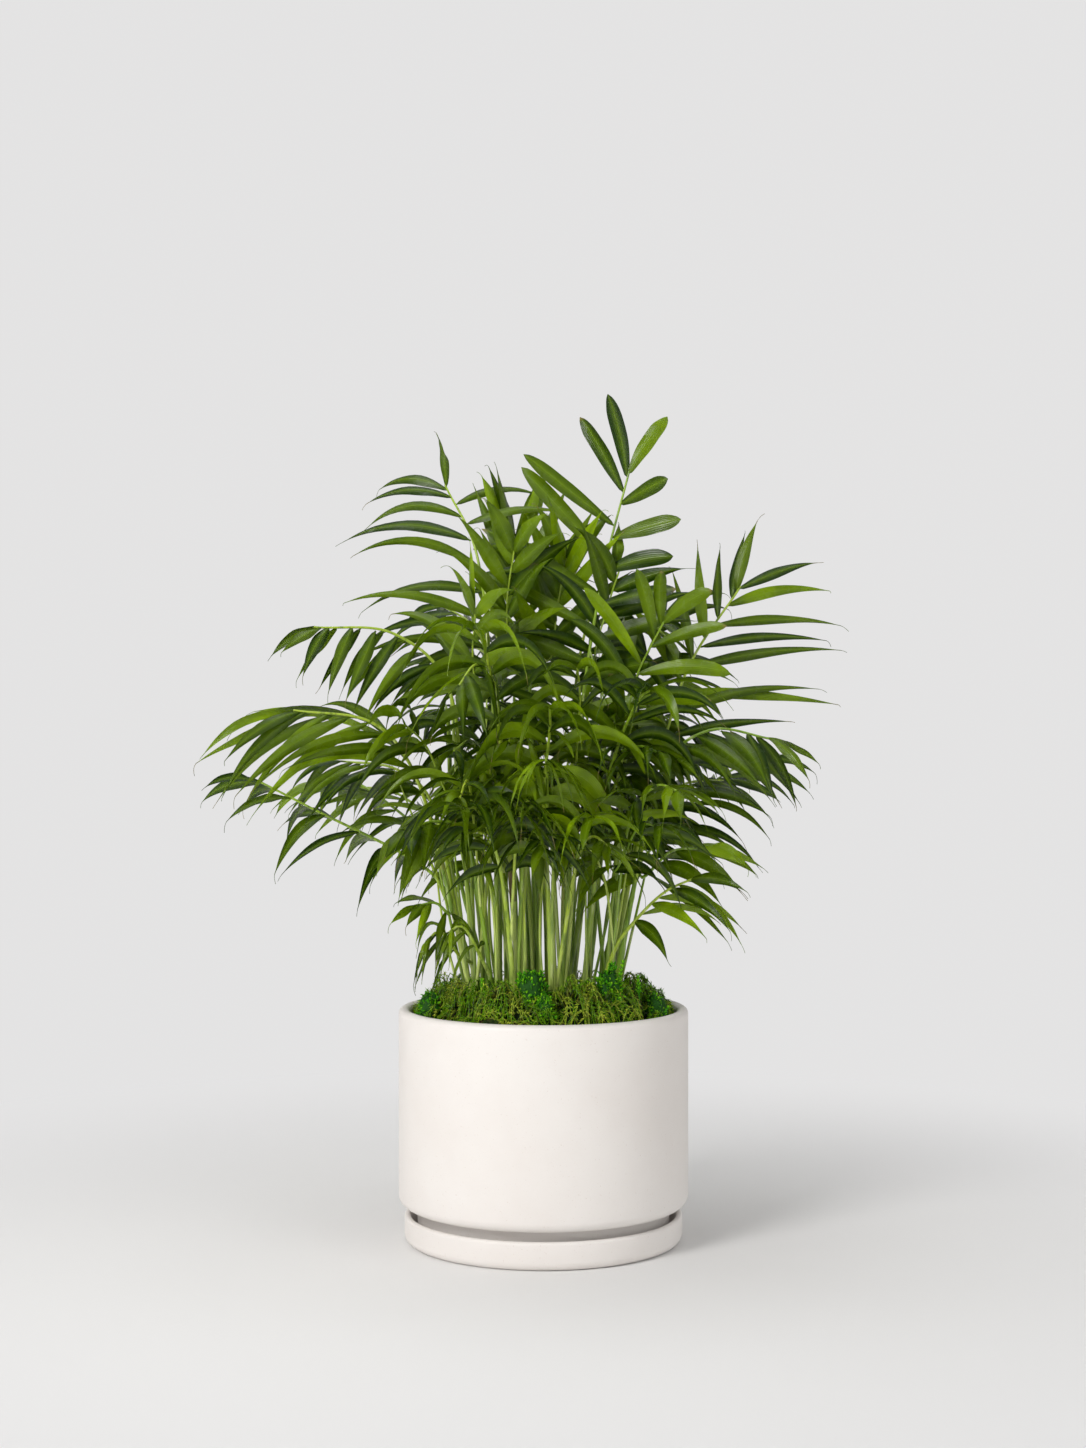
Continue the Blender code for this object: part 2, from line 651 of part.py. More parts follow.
def draw_back_palm(number, rng):
    """A palm of the far side or the middle: its place, height and reach drawn within limits.

    The higher its frond starts, the less it reaches outward.
    """
    heading = rng.uniform(*BACK_HEADINGS)
    outward = compass(heading)
    foot = outward * FEET_WITHIN * rng.uniform(*FEET_SHARES)
    neck_z = rng.choice(BACK_LEVELS) * rng.uniform(*BACK_LEVEL_DRAWN)
    height_share = (neck_z - BACK_REACH_LOW[0]) / (BACK_REACH_HIGH[0] - BACK_REACH_LOW[0])
    reach = blend(BACK_REACH_LOW[1], BACK_REACH_HIGH[1], height_share) * rng.uniform(*BACK_REACH_DRAWN)
    neck = foot + outward * BACK_NECK_REACH * reach + Vector((0, 0, neck_z))
    bow = foot + outward * reach + Vector((0, 0, neck_z + rng.uniform(*BACK_BOW_RISE)))
    tip = bow + outward * rng.uniform(*BACK_TIP_REACH) + Vector((0, 0, rng.uniform(*BACK_TIP_RISE)))
    frond = Frond(
        tuple(neck), tuple(bow), tuple(tip), heading + 90 + rng.uniform(-BACK_SPREAD, BACK_SPREAD),
        BACK_PAIRS, rng.uniform(*BACK_LENGTH), rng.uniform(*BACK_WIDTH), BACK_LIFT,
        rng.uniform(*BACK_DROOP),
    )
    return Palm(f"palm_back_{number:02d}", (foot.x, foot.y), frond)


def all_palms(thicket):
    """The front palms and the ones drawn by rule, their stems clear of each other and in the thicket."""
    palms = list(FRONT_PALMS)
    for palm in palms:
        for stem in stems_of(palm):
            thicket.add(palm.name, stem.mesh())
    rng = random.Random(BACK_SEED)
    while len(palms) < len(FRONT_PALMS) + BACK_COUNT:
        palm = draw_back_palm(len(palms) - len(FRONT_PALMS) + 1, rng)
        stem = stems_of(palm)[0]
        apart = min(math.dist(palm.foot, other.foot) for other in palms)
        if apart < FEET_APART or thicket.crosses_others(palm.name, swollen(stem.mesh(), STEM_GAP)):
            continue
        thicket.add(palm.name, stem.mesh())
        palms.append(palm)
    return palms


def bent_clear(name, thicket, leaflets):
    """The first of the leaflets that crosses nothing, or else the first that crosses only its siblings."""
    spare = None
    for leaf in leaflets:
        if thicket.crosses_others(name, blade(leaf, CLEAR_GAP)):
            continue
        if not thicket.crosses_siblings(name, blade(leaf, start=FREE_FROM)):
            return leaf
        spare = spare or leaf
    return spare


def grow_leaflets(palm, thicket, seed):
    """A palm's leaflets, each bent clear of what the thicket holds, or left out where it can't be."""
    grown = []
    rng = random.Random(seed)
    for stem in stems_of(palm):
        for t, side, last in leaflet_places(stem.frond.pairs):
            draw = [rng.uniform(-1, 1) for _ in range(6)]
            tries = (make_leaflet(stem, t, side, last, draw, way) for way in WAYS_ASIDE)
            leaf = bent_clear(palm.name, thicket, tries)
            if leaf:
                grown.append(leaf)
                thicket.add(palm.name, blade(leaf), "leaflet")
    return grown


def keep_largest(mesh):
    """Drops loose scraps and fills sealed hollows: only the shell with the most faces stays."""
    bm = bmesh.new()
    bm.from_mesh(mesh)
    left = set(bm.faces)
    shells = []
    while left:
        front = [left.pop()]
        shell = list(front)
        while front:
            plain_edges = [edge for edge in front.pop().edges if len(edge.link_faces) == 2]
            new = {face for edge in plain_edges for face in edge.link_faces} & left
            left -= new
            front += new
            shell += new
        shells.append(shell)
    for shell in sorted(shells, key=len)[:-1]:
        bmesh.ops.delete(bm, geom=shell, context="FACES")
    bm.to_mesh(mesh)
    bm.free()


def make_palm(palm, leaflets, home, finish):
    """A leafy stem: its cane, forks and leaflets joined in one solid, with its origin at its foot."""
    stems = stems_of(palm)
    obj = mesh_object(palm.name, stems[0].mesh(), home, finish)
    repeats = collection(palm.name + "_leaflets")
    for fork in stems[1:]:
        mesh_object("fork", fork.mesh(), repeats)
    for leaf in leaflets:
        mesh_object("leaflet", blade(leaf), repeats)
    union = obj.modifiers.new("leaflets", "BOOLEAN")
    union.operation = "UNION"
    union.operand_type = "COLLECTION"
    union.collection = repeats
    union.solver = UNION_SOLVER
    joined = bpy.data.meshes.new_from_object(obj.evaluated_get(bpy.context.evaluated_depsgraph_get()))
    keep_largest(joined)
    joined.shade_smooth()
    joined.set_sharp_from_angle(angle=SHARP_FROM)
    foot = stems[0].points[0]
    joined.transform(Matrix.Translation(-foot))
    obj.modifiers.clear()
    obj.data = joined
    obj.location = foot
    for repeat in list(repeats.objects):
        bpy.data.objects.remove(repeat)
    bpy.data.collections.remove(repeats)
    return obj


def main():
    clear_scene()
    home = collection("potted_parlor_palm")
    cutters = collection("cutters")
    cutters.hide_render = True
    make_saucer(home, CERAMIC)
    pot = make_pot(home, CERAMIC)
    thicket = Thicket()
    palms = all_palms(thicket)
    make_soil(home, SOIL, [palm.foot for palm in palms], cutters)
    moss = make_moss(home, MOSS, cutters)
    tufts = [make_tuft(tuft, home, BRIGHT_MOSS) for tuft in TUFTS]
    for solid in (pot, moss, *tufts):
        bm = bmesh.new()
        bm.from_object(solid, bpy.context.evaluated_depsgraph_get())
        bmesh.ops.translate(bm, verts=bm.verts, vec=solid.location)
        thicket.add(solid.name, bm)
    grown = [grow_leaflets(palm, thicket, seed) for seed, palm in enumerate(palms, LEAFLET_SEED)]
    for palm, leaflets in zip(palms, grown):
        make_palm(palm, leaflets, home, LEAF)


if __name__ == "__main__":
    main()
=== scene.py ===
"""Potted parlor palm, dressed over its CAD frame: fine palms, feathery moss and a turned ceramic pot.

The palms grow here by the same rules and numbers as their solids, so that each fine palm keeps the
form of the node that it replaces. Metres, +Z up, and -Y faces the viewer.
"""

import math
import random
from collections import namedtuple

import bmesh
import bpy
import numpy as np
from mathutils import Matrix, Vector, noise
from mathutils.bvhtree import BVHTree


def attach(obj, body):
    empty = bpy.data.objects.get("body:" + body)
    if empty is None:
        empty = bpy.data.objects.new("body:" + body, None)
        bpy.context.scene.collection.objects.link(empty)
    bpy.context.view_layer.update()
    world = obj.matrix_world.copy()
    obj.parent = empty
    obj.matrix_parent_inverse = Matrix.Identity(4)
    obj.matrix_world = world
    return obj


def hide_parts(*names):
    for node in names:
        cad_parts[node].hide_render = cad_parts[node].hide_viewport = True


# Pot and saucer
TURN_STEPS = 160
POT_RADIUS = 0.100
POT_TOP = 0.1605
POT_WALL = 0.008
SKIRT_Z = 0.0255
SKIRT_ROUND = 0.007
FOOT_RADIUS = 0.0870
FOOT_BEVEL = 0.001
FOOT_RING = 0.009
FOOT_RECESS = 0.0025
POT_FLOOR = 0.009
DRAIN_RADIUS = 0.008
SAUCER_RADIUS = 0.096
SAUCER_TOP = 0.0192
SAUCER_WALL = 0.0046
SAUCER_FLOOR = 0.005
SAUCER_ROUND = 0.006
SAUCER_HOLLOW = 0.004
REST_GAP = 0.0003
GLAZE_ROUND = 0.0008

# What fills the pot
SHOULDER_Z = 0.142
DOME_RADIUS = 0.056
DOME_TOP = 0.166
DOME_EDGE = 0.154
STEM_DEPTH = 0.023
MOSS_INNER = 0.0590
MOSS_OUTER = POT_RADIUS - POT_WALL - REST_GAP
MOSS_LOW = 0.010
MOSS_HIGH = 0.034
MOSS_EDGE = 0.45
MOSS_BUMP = 0.0025

# Stems, in radii from the cane's foot to the rib's tip
CANE_RADIUS = 0.0025
PETIOLE_RADIUS = 0.0016
RIB_RADIUS = 0.0012
RIB_TIP_RADIUS = 0.0009
KNOT_STEPS = 16
CANE_POINTS = 4
FORK_POINTS = 3
RIB_POINTS = 5
START_RISE = 0.002
CANE_RISE = 0.012
PETIOLE_AT = 0.55
FORK_SHARE = 0.9
TILT = math.radians(70)

# Leaflets
LINE_STEPS = 16
BLADE_CORNERS = 3
BLADE_STATIONS = (0.0, 0.0, 0.34, 0.70, 1.0)
BLADE_THICK = 0.0014
CLEAR_GAP = 0.0005
STEM_GAP = 0.0010
FREE_FROM = 0.12
TERMINAL_ANGLE = 24.0
TERMINAL_LIFT = 0.3
TERMINAL_WIDEST = 0.08
TERMINAL_BACK = (3.0, 6.0)
TERMINAL_ROOT = 1.1
TERMINAL_APART = 0.00035
FIRST_ANGLE = 66.0
LAST_ANGLE = 36.0
ROOT_RING = (0.4, 0.25, 0.2)
LEAFLET_SEED = 7
DRAWN_ANGLE = 9.0
DRAWN_RISE = 11.0
DRAWN_TWIST = 30.0
DRAWN_DROOP = 0.40
DRAWN_SIZE = 0.10

# A frond: its neck, where the lowest leaflets grow, its bow and its tip; the compass angle that its
# right-hand leaflets point to; its leaflets' number of pairs, greatest length, greatest width, lift
# out of the frond's plane in degrees and droop under their weight; how many degrees further forward
# they point than usual; where they are widest; and for its right-hand and its left-hand leaflets how
# long they are beside the usual length and how many degrees further forward they point.
FROND_FIELDS = "neck bow tip spread pairs length width lift droop forward widest right left"
Frond = namedtuple("Frond", FROND_FIELDS, defaults=(0, 0.36, (1.0, 0), (1.0, 0)))
# A palm: its node, its foot on the soil, its frond, and a second frond with the share of the cane's
# height that it forks at.
Palm = namedtuple("Palm", "name foot frond second fork", defaults=(None, 0))

FRONT_PALMS = (
    Palm("palm_tall_right", (0.012, -0.012), Frond(
        (0.026, -0.020, 0.366), (0.040, -0.026, 0.455), (0.0585, -0.024, 0.5285),
        -20, 8, 0.084, 0.0145, 8, 0.15, 2, 0.48, (0.70, -12), (1.12, -14))),
    Palm("palm_right", (0.043, 0.000), Frond(
        (0.080, 0.004, 0.330), (0.101, 0.006, 0.396), (0.1375, 0.010, 0.452),
        0, 9, 0.102, 0.0092, 0, 0.38, -4, 0.36, (1.0, 0), (0.70, 12)), Frond(
        (0.066, -0.018, 0.252), (0.086, -0.028, 0.269), (0.104, -0.036, 0.272),
        -80, 4, 0.076, 0.0130, -20, 0.8, 14), 0.46),
    Palm("palm_top_left", (-0.030, 0.004), Frond(
        (-0.036, 0.010, 0.382), (-0.0464, 0.014, 0.4735), (-0.070, 0.044, 0.526),
        0, 9, 0.098, 0.0088, 6, 0.95, -4, 0.36, (0.90, -40), (1.0, 0))),
    Palm("palm_left_high", (-0.046, -0.010), Frond(
        (-0.064, -0.020, 0.378), (-0.101, -0.032, 0.417), (-0.154, -0.048, 0.421),
        75, 8, 0.061, 0.0090, -42, 0.8, -6)),
    Palm("palm_left", (-0.046, -0.028), Frond(
        (-0.086, -0.050, 0.322), (-0.114, -0.062, 0.357), (-0.164, -0.080, 0.365),
        70, 8, 0.112, 0.0092, -24, 0.85, 18), Frond(
        (-0.062, -0.040, 0.228), (-0.072, -0.048, 0.236), (-0.083, -0.055, 0.235),
        60, 3, 0.040, 0.0080, -30, 1.2), 0.40),
    Palm("palm_left_low", (-0.032, -0.040), Frond(
        (-0.052, -0.064, 0.283), (-0.070, -0.078, 0.292), (-0.090, -0.094, 0.287),
        50, 5, 0.058, 0.0120, -34, 0.9, 4)),
    Palm("palm_left_behind", (-0.050, 0.010), Frond(
        (-0.078, 0.006, 0.302), (-0.104, 0.012, 0.325), (-0.142, 0.018, 0.330),
        90, 6, 0.084, 0.0078, -20, 1.4, 8)),
    Palm("palm_right_arch", (0.046, -0.022), Frond(
        (0.080, -0.035, 0.325), (0.112, -0.047, 0.352), (0.152, -0.058, 0.346),
        -110, 6, 0.076, 0.0092, -30, 1.0, 8)),
    Palm("palm_right_low", (0.034, -0.034), Frond(
        (0.061, -0.052, 0.224), (0.080, -0.062, 0.244), (0.099, -0.070, 0.254),
        -100, 4, 0.066, 0.0090, -26, 0.8, 16)),
    Palm("palm_right_behind", (0.047, 0.020), Frond(
        (0.070, 0.032, 0.285), (0.098, 0.046, 0.312), (0.130, 0.060, 0.316),
        -60, 6, 0.072, 0.0098, -10, 0.9)),
    Palm("palm_middle_top", (-0.004, 0.012), Frond(
        (-0.010, 0.018, 0.392), (-0.014, 0.026, 0.448), (-0.020, 0.034, 0.488),
        20, 6, 0.088, 0.0135, 14, 0.10, 28, 0.48)),
    Palm("palm_front", (0.006, -0.046), Frond(
        (0.000, -0.066, 0.306), (0.004, -0.084, 0.350), (0.004, -0.116, 0.366),
        0, 6, 0.076, 0.0130, -24, 3.2, -4)),
    Palm("palm_middle_left", (-0.016, -0.024), Frond(
        (-0.030, -0.046, 0.352), (-0.038, -0.078, 0.404), (-0.044, -0.116, 0.417),
        -5, 6, 0.080, 0.0125, -16, 2.6)),
    Palm("palm_middle_right", (0.026, -0.018), Frond(
        (0.045, -0.050, 0.325), (0.060, -0.084, 0.368), (0.068, -0.122, 0.378),
        -5, 6, 0.076, 0.0110, -20, 2.0)),
    Palm("palm_front_left", (-0.018, -0.044), Frond(
        (-0.030, -0.080, 0.268), (-0.042, -0.112, 0.300), (-0.050, -0.148, 0.302),
        -15, 6, 0.074, 0.0120, -20, 2.4)),
    Palm("palm_right_upper", (0.030, 0.012), Frond(
        (0.052, 0.022, 0.352), (0.072, 0.036, 0.402), (0.088, 0.056, 0.437),
        -30, 5, 0.078, 0.0100, 6, 0.9)),
)

# Palms of the far side and the middle, drawn by rule
BACK_SEED = 11
BACK_COUNT = 12
BACK_PAIRS = 6
BACK_LIFT = 8
BACK_HEADINGS = (-12.0, 192.0)
BACK_LEVELS = (0.27, 0.32, 0.37)
BACK_LEVEL_DRAWN = (0.92, 1.06)
BACK_REACH_LOW = (0.25, 0.110)
BACK_REACH_HIGH = (0.39, 0.035)
BACK_REACH_DRAWN = (0.75, 1.15)
BACK_NECK_REACH = 0.35
BACK_BOW_RISE = (0.040, 0.062)
BACK_TIP_REACH = (0.030, 0.050)
BACK_TIP_RISE = (-0.006, 0.030)
BACK_SPREAD = 14
BACK_LENGTH = (0.068, 0.082)
BACK_WIDTH = (0.0088, 0.0108)
BACK_DROOP = (0.9, 1.8)
FEET_APART = 0.0098
FEET_WITHIN = 0.048
FEET_SHARES = (0.15, 0.95)

# Fine leaflets: the section's places across, from margin to margin, and the stations along
ACROSS = (-1.0, -0.66, -0.30, 0.0, 0.30, 0.66, 1.0)
ALONG = (
    0.0, 0.02, 0.05, 0.09, 0.14, 0.20, 0.27, 0.34, 0.42,
    0.50, 0.58, 0.66, 0.74, 0.81, 0.87, 0.92, 0.96, 1.0,
)
CREASE = 60
SHELL_THICK = 0.00032
MARGIN_THICK = 0.6
KEEL_THICK = 1.9
ROOT_SHARES = (0.30, 0.34)
RIDGE = (0.0009, 0.0017)
RIDGE_SHARP = 1.2
RIDGE_FULL = 1.3
WHISKER = (0.002, 0.009)
WHISKER_STEPS = 5
WHISKER_CURL = 0.45
WHISKER_SAG = (0.15, 0.75)
THREAD_HALF = 0.00022
THREAD_THIN = 0.7
SLENDER = (0.80, 0.96)
BLUNT_SLENDER = (0.74, 0.84)
BLUNT_WIDEST = 0.62
EXTRA_TWIST = 48.0
SWAY = 0.030
RIPPLE = (0.0002, 0.0007)
RIPPLE_WAVES = (9, 17)
RIPPLE_APART = 1.4
ANY_PHASE = (0, 6.28)
SKEW = 0.22
SKEW_FROM = 0.8
BLUNT = ("palm_tall_right",)
FINE_SEED = 4100
TONES = (0.05, 0.75)
TONE_PLAY = 0.45
# Painted shade: leaves further back, deeper in the plant, lose up to this much of their tone, over this
# span of y from front to back
BACK_PAINTED_SHADE = 0.35
BACK_PAINTED_SHADE_FROM = (-0.05, 0.01)
# Tones given to some palms; palm_middle_top's leaves are lighter than any drawn tone, partly painted light
# for light that shines through them
PALM_TONES_AND_PAINTED_LIGHT = {"palm_middle_top": 0.85, "palm_tall_right": 0.50, "palm_right": 0.60, "palm_front": 0.60}

# More fronds on the same canes that only this scene holds: the palm, the share of its cane's height
# that the frond forks at, and the frond
MORE_FRONDS = (
    ("palm_left_high", 0.10, Frond(
        (-0.058, -0.030, 0.200), (-0.070, -0.040, 0.216), (-0.080, -0.048, 0.208),
        60, 4, 0.042, 0.0040, -20, 4.0, 0)),
    ("palm_left_low", 0.16, Frond(
        (-0.044, -0.056, 0.205), (-0.054, -0.066, 0.222), (-0.066, -0.074, 0.216),
        50, 4, 0.038, 0.0042, -20, 3.6, 0)),
    ("palm_middle_top", 0.78, Frond(
        (0.004, 0.002, 0.400), (0.010, -0.004, 0.440), (0.016, -0.010, 0.470),
        -10, 5, 0.074, 0.0140, 12, 0.2, 22)),
    ("palm_top_left", 0.80, Frond(
        (-0.026, -0.004, 0.396), (-0.025, -0.014, 0.440), (-0.020, -0.026, 0.474),
        -20, 6, 0.072, 0.0130, 8, 0.5, 20)),
    ("palm_top_left", 0.70, Frond(
        (-0.040, -0.010, 0.350), (-0.048, -0.024, 0.396), (-0.046, -0.040, 0.430),
        -40, 5, 0.070, 0.0120, -4, 0.9, 10)),
    ("palm_tall_right", 0.66, Frond(
        (0.050, -0.034, 0.352), (0.064, -0.048, 0.392), (0.080, -0.062, 0.424),
        -20, 5, 0.066, 0.0120, 4, 0.5, 4)),
    ("palm_right_upper", 0.80, Frond(
        (0.036, -0.014, 0.398), (0.044, -0.022, 0.436), (0.052, -0.030, 0.462),
        -10, 5, 0.066, 0.0115, 4, 0.5, 6)),
    ("palm_tall_right", 0.58, Frond(
        (0.022, -0.050, 0.330), (0.024, -0.074, 0.372), (0.022, -0.100, 0.392),
        0, 5, 0.066, 0.0120, -16, 2.2, 0)),
    ("palm_middle_right", 0.60, Frond(
        (0.046, -0.056, 0.258), (0.062, -0.082, 0.288), (0.076, -0.108, 0.290),
        -30, 5, 0.062, 0.0110, -20, 2.2, 0)),
    ("palm_front", 0.60, Frond(
        (0.018, -0.074, 0.262), (0.026, -0.100, 0.292), (0.032, -0.128, 0.296),
        -10, 5, 0.062, 0.0110, -20, 2.4, 0)),
    ("palm_front_left", 0.55, Frond(
        (-0.026, -0.070, 0.258), (-0.038, -0.092, 0.284), (-0.048, -0.116, 0.286),
        20, 5, 0.052, 0.0100, -20, 2.4, 0)),
    ("palm_left_high", 0.62, Frond(
        (-0.060, -0.030, 0.300), (-0.078, -0.048, 0.340), (-0.092, -0.070, 0.356),
        50, 5, 0.066, 0.0100, -16, 1.8, 4)),
)

# Side fronds: smaller fronds on the same canes, from their feet or half way up, that fill the middle
SIDE_SEED = 77
SIDE_TRIES = 60
SIDE_FRONDS = 44
SIDE_FORK = (0.34, 0.70)
SIDE_FROM_FOOT = 0.4
SIDE_FOOT_AT = 0.02
SIDE_CENTRE_Y = 0.02
SIDE_RISE = (0.050, 0.120)
SIDE_REACH = (0.006, 0.026)
SIDE_BOW = (0.014, 0.034)
SIDE_BOW_RISE = (0.012, 0.030)
SIDE_TIP_RISE = (-0.018, 0.006)
SIDE_FOOT_RISE = 0.045
SIDE_HEADING = 100.0
SIDE_PAIRS = (4, 5, 6)
SIDE_LENGTH = (0.048, 0.074)
SIDE_WIDTH = (0.0074, 0.0110)
SIDE_LIFT = (-20, 6)
SIDE_DROOP = (0.8, 2.8)
SIDE_THIN = 0.62
SIDE_WITHIN = ((-0.060, 0.084), (-0.078, 0.100))
SIDE_LEVELS = (0.260, 0.360)
SIDE_BELOW = 0.02

# Fine stems
STEM_SIDES = 10
RING_STEP = 0.0035
LEAST_RINGS = 12
SLIM = 0.88
TIP_SLIM = 0.8
BURIED = 0.012
JOINT_FIRST = (0.012, 0.024)
JOINT_EVERY = (0.016, 0.034)
JOINTED = 0.62
JOINT_WORN = 0.55
JOINT_SWELL = 0.16
JOINT_REACH = 0.0016
SHEATH_CHANCE = 0.10
SHEATH_LENGTH = (0.010, 0.026)
SHEATH_RISE = 0.0004
SPEAR_LENGTH = (0.050, 0.110)
SPEAR_RADIUS = 0.0010
SPEAR_FROM = (0.45, 0.8)
SPEAR_LEAN = (0.10, 0.28)
SPEAR_LIFT = 0.02
SPEAR_STEPS = 10
SPEAR_TONE = 0.7
SHOOTS = 2
SHOOT_RISE = (0.095, 0.150)
SHOOT_SPREAD = (0.15, 0.60)
SHOOT_APART = 0.0036
SHOOT_SIDE = (0.002, 0.012)
SHOOT_BOW = (0.001, 0.006)
SHOOT_STEPS = 20
SHOOT_RADIUS = (0.0009, 0.0015)
SHOOT_TAPER = 0.4

# Moss
CLUMP_SEED = 63
CLUMP_ROWS = ((0.0665, 17), (0.0820, 23))
CLUMP_RADIUS = (0.0085, 0.0130)
CLUMP_RISE = (0.0030, 0.0105)
CLUMP_STAGGER = 0.3
CLUMP_DRIFT = (-0.004, 0.003)
CLUMP_SWIRL = 1.6
FRONT_SHARE = (0.2, 0.9)
FRONT_RISE = 0.8
SPRAYS_A_CLUMP = 30
SPRAY_STEPS = 9
SPRAY_TURN = 0.381966  # of a full turn, the golden share
SPRAY_TURN_PLAY = 0.03
SPRAY_START = (0.0, 0.75)
SPRAY_LENGTH = (0.6, 1.3)
SPRAY_TONE_PLAY = 0.6
STALK_RADIUS = 0.00055
STALK_TAPER = 0.6
SPRAY_LIFT = (0.0008, 0.0070)
SPRAY_LEAF = (0.0022, 0.0040)
SPRAY_LEAF_WIDTH = 0.0013
SPRAY_LEAF_THICK = 0.00016
SPRAY_LEAF_RISE = (0.15, 0.55)
CONE_SPRAYS = 520
CONE_REACH = 1.05
CONE_LENGTH = (0.006, 0.012)
CONE_SWIRL = 1.5
CONE_TONES = (0.0, 0.7)
CONE_LEAF = 1.1
CONE_COVER = 0.0015
CONE_EDGE = 0.050
CREST_IN = 0.004
WALL_PLAY = 0.0012
MAT_TURNS = 180
MAT_ROWS = 16
MAT_INSET = 0.0005
MAT_BELOW = 0.001
MAT_CRUMB = 0.0012
MAT_GRAIN = 420
Tuft = namedtuple("Tuft", "name place radius top")
TUFT_SEAT = 0.160
TUFTS = (
    Tuft("moss_tuft_front", (-0.008, -0.0730), 0.0130, 0.190),
    Tuft("moss_tuft_right", (0.043, -0.0600), 0.0115, 0.188),
)
TUFT_LEAVES = 900
LUMPS = (
    Tuft("moss_lump_left", (-0.0765, -0.0340), 0.0085, 0.1680),
    Tuft("moss_lump_right", (0.0755, -0.0360), 0.0085, 0.1670),
    Tuft("moss_lump_low", (0.0010, -0.0850), 0.0062, 0.1720),
)
LUMP_LEAVES = 220
CUSHION_LOW = 0.55
CUSHION_OVER = 0.008
CUSHION_ROWS = 15
CUSHION_SIDES = 28
CUSHION_LEAF = (0.0016, 0.0036)
CUSHION_LEAF_WIDTH = 0.0017
CUSHION_LEAF_ROOT = 0.0006
CUSHION_LEAF_TURN = (0.5, 0.9)
CUSHION_LEAVES_FROM = -0.55
CUSHION_TILTS = (-1.5, 1.55)
CUSHION_LUMPS = (0.84, 0.30)
CUSHION_GRAIN = 2.1
LUMP_SEAT = 1.6
# A cupped leaf: places along it and its width there, how light it is there (darker at the root, partly
# painted shade, and lighter at the tip, partly painted highlight), its bend and its hollow
CUPPED_RINGS = ((0.0, 0.25), (0.35, 0.85), (0.7, 0.95), (0.92, 0.60), (1.0, 0.15))
CUPPED_GROWTH_AND_PAINTED_LIGHT = (0.15, 0.4, 0.65, 0.85, 1.0)
CUPPED_BEND = 0.22
CUPPED_HOLLOW = 0.28
CUPPED_THICK = 0.0001
# Clumps that lie against the tufts: place, radius, rise, kind and swirl
LAID_CLUMPS = (
    (-0.0150, -0.0850, 0.0110, 0.0130, 0.9, 1.3), (-0.0010, -0.0870, 0.0100, 0.0110, 0.2, -1.2),
    (-0.0330, -0.0780, 0.0140, 0.0170, 1.0, 1.5), (0.0200, -0.0800, 0.0120, 0.0130, 0.9, -1.4),
    (0.0380, -0.0740, 0.0110, 0.0110, 0.4, 1.2), (0.0540, -0.0640, 0.0110, 0.0120, 0.8, -1.3),
)
SPRIGS = ((0.049, -0.060, 0.180, 0.016), (0.064, -0.052, 0.171, 0.014), (-0.040, -0.062, 0.172, 0.012))
SPRIG_STEPS = 6
SPRIG_WHORL = 6
SPRIG_LEAF = (0.0034, 0.0014)
SPRIG_RADIUS = 0.0005
SPRIG_LEAN = ((-0.3, 0.3), (-0.3, 0.1))
SPRIG_TONES = (0.5, 1.0)
# Moss colours at the root, half way and at the tip of a leaf, and their roughness: darker at the root
# partly for older growth and partly as painted shade deep in the mat, lighter at the tip partly for new
# growth and partly as painted highlight
FEATHER_MOSS = (0.004, 0.018, 0.001), (0.230, 0.540, 0.002), (0.980, 1.000, 0.110), 0.28
CUSHION_MOSS = (0.008, 0.070, 0.001), (0.080, 0.420, 0.001), (0.400, 0.900, 0.006), 0.70

# Studio
EYE = (0.0, -1.53, 0.356)
FRAME_HEIGHT = 1448  # pixels
FOCAL_LENGTH = 2210  # pixels
SENSOR = 36
LENS = SENSOR * FOCAL_LENGTH / FRAME_HEIGHT
SHIFT_X = -0.5 / FRAME_HEIGHT
STAGE_RADIUS = 2.5
STAGE_HEIGHT = 2.6
STAGE_ROUND = 1.1
STAGE_TINT = (0.86, 0.855, 0.85, 1.0)
STAGE_GLOW = (0.775, 0.770, 0.770, 1.0)
STAGE_GLOW_FROM = (0.14, 0.75)
AIR = 0.38
# The lights: name, place, target, size, energy and colour
LIGHTS = (
    ("window light", (-1.05, -1.35, 1.15), (0.0, 0.0, 0.25), 0.7, 21.0, (1.0, 0.99, 0.975)),
    ("top light", (-0.2, 0.15, 1.9), (0.0, 0.0, 0.2), 1.0, 6.0, (1.0, 1.0, 1.0)),
    ("fill light", (1.30, -1.10, 0.90), (0.0, 0.0, 0.15), 1.3, 3.9, (1.0, 1.0, 1.0)),
)


def blend(a, b, share):
    """The value that lies share of the way from a to b."""
    return a + (b - a) * share


def compass(degrees):
    """The level direction at a compass angle, 0 along +X and 90 along +Y."""
    return Vector((math.cos(math.radians(degrees)), math.sin(math.radians(degrees)), 0.0))


def held(value, low=0.0, high=1.0):
    """The value, kept between low and high."""
    return min(max(value, low), high)


def any_way(rng):
    """A level direction drawn from the whole compass."""
    return compass(rng.uniform(0, 360))


def ease(value, low, high):
    """0 below low, 1 above high and a smooth rise between them."""
    share = held((value - low) / (high - low))
    return share * share * (3 - 2 * share)


def unit(vectors, least=1e-9):
    """The vectors along the last axis, brought to length 1."""
    return vectors / np.maximum(np.linalg.norm(vectors, axis=-1, keepdims=True), least)


def placed(name, data):
    """A new object of the scene."""
    obj = bpy.data.objects.new(name, data)
    bpy.context.scene.collection.objects.link(obj)
    return obj


# Shader building


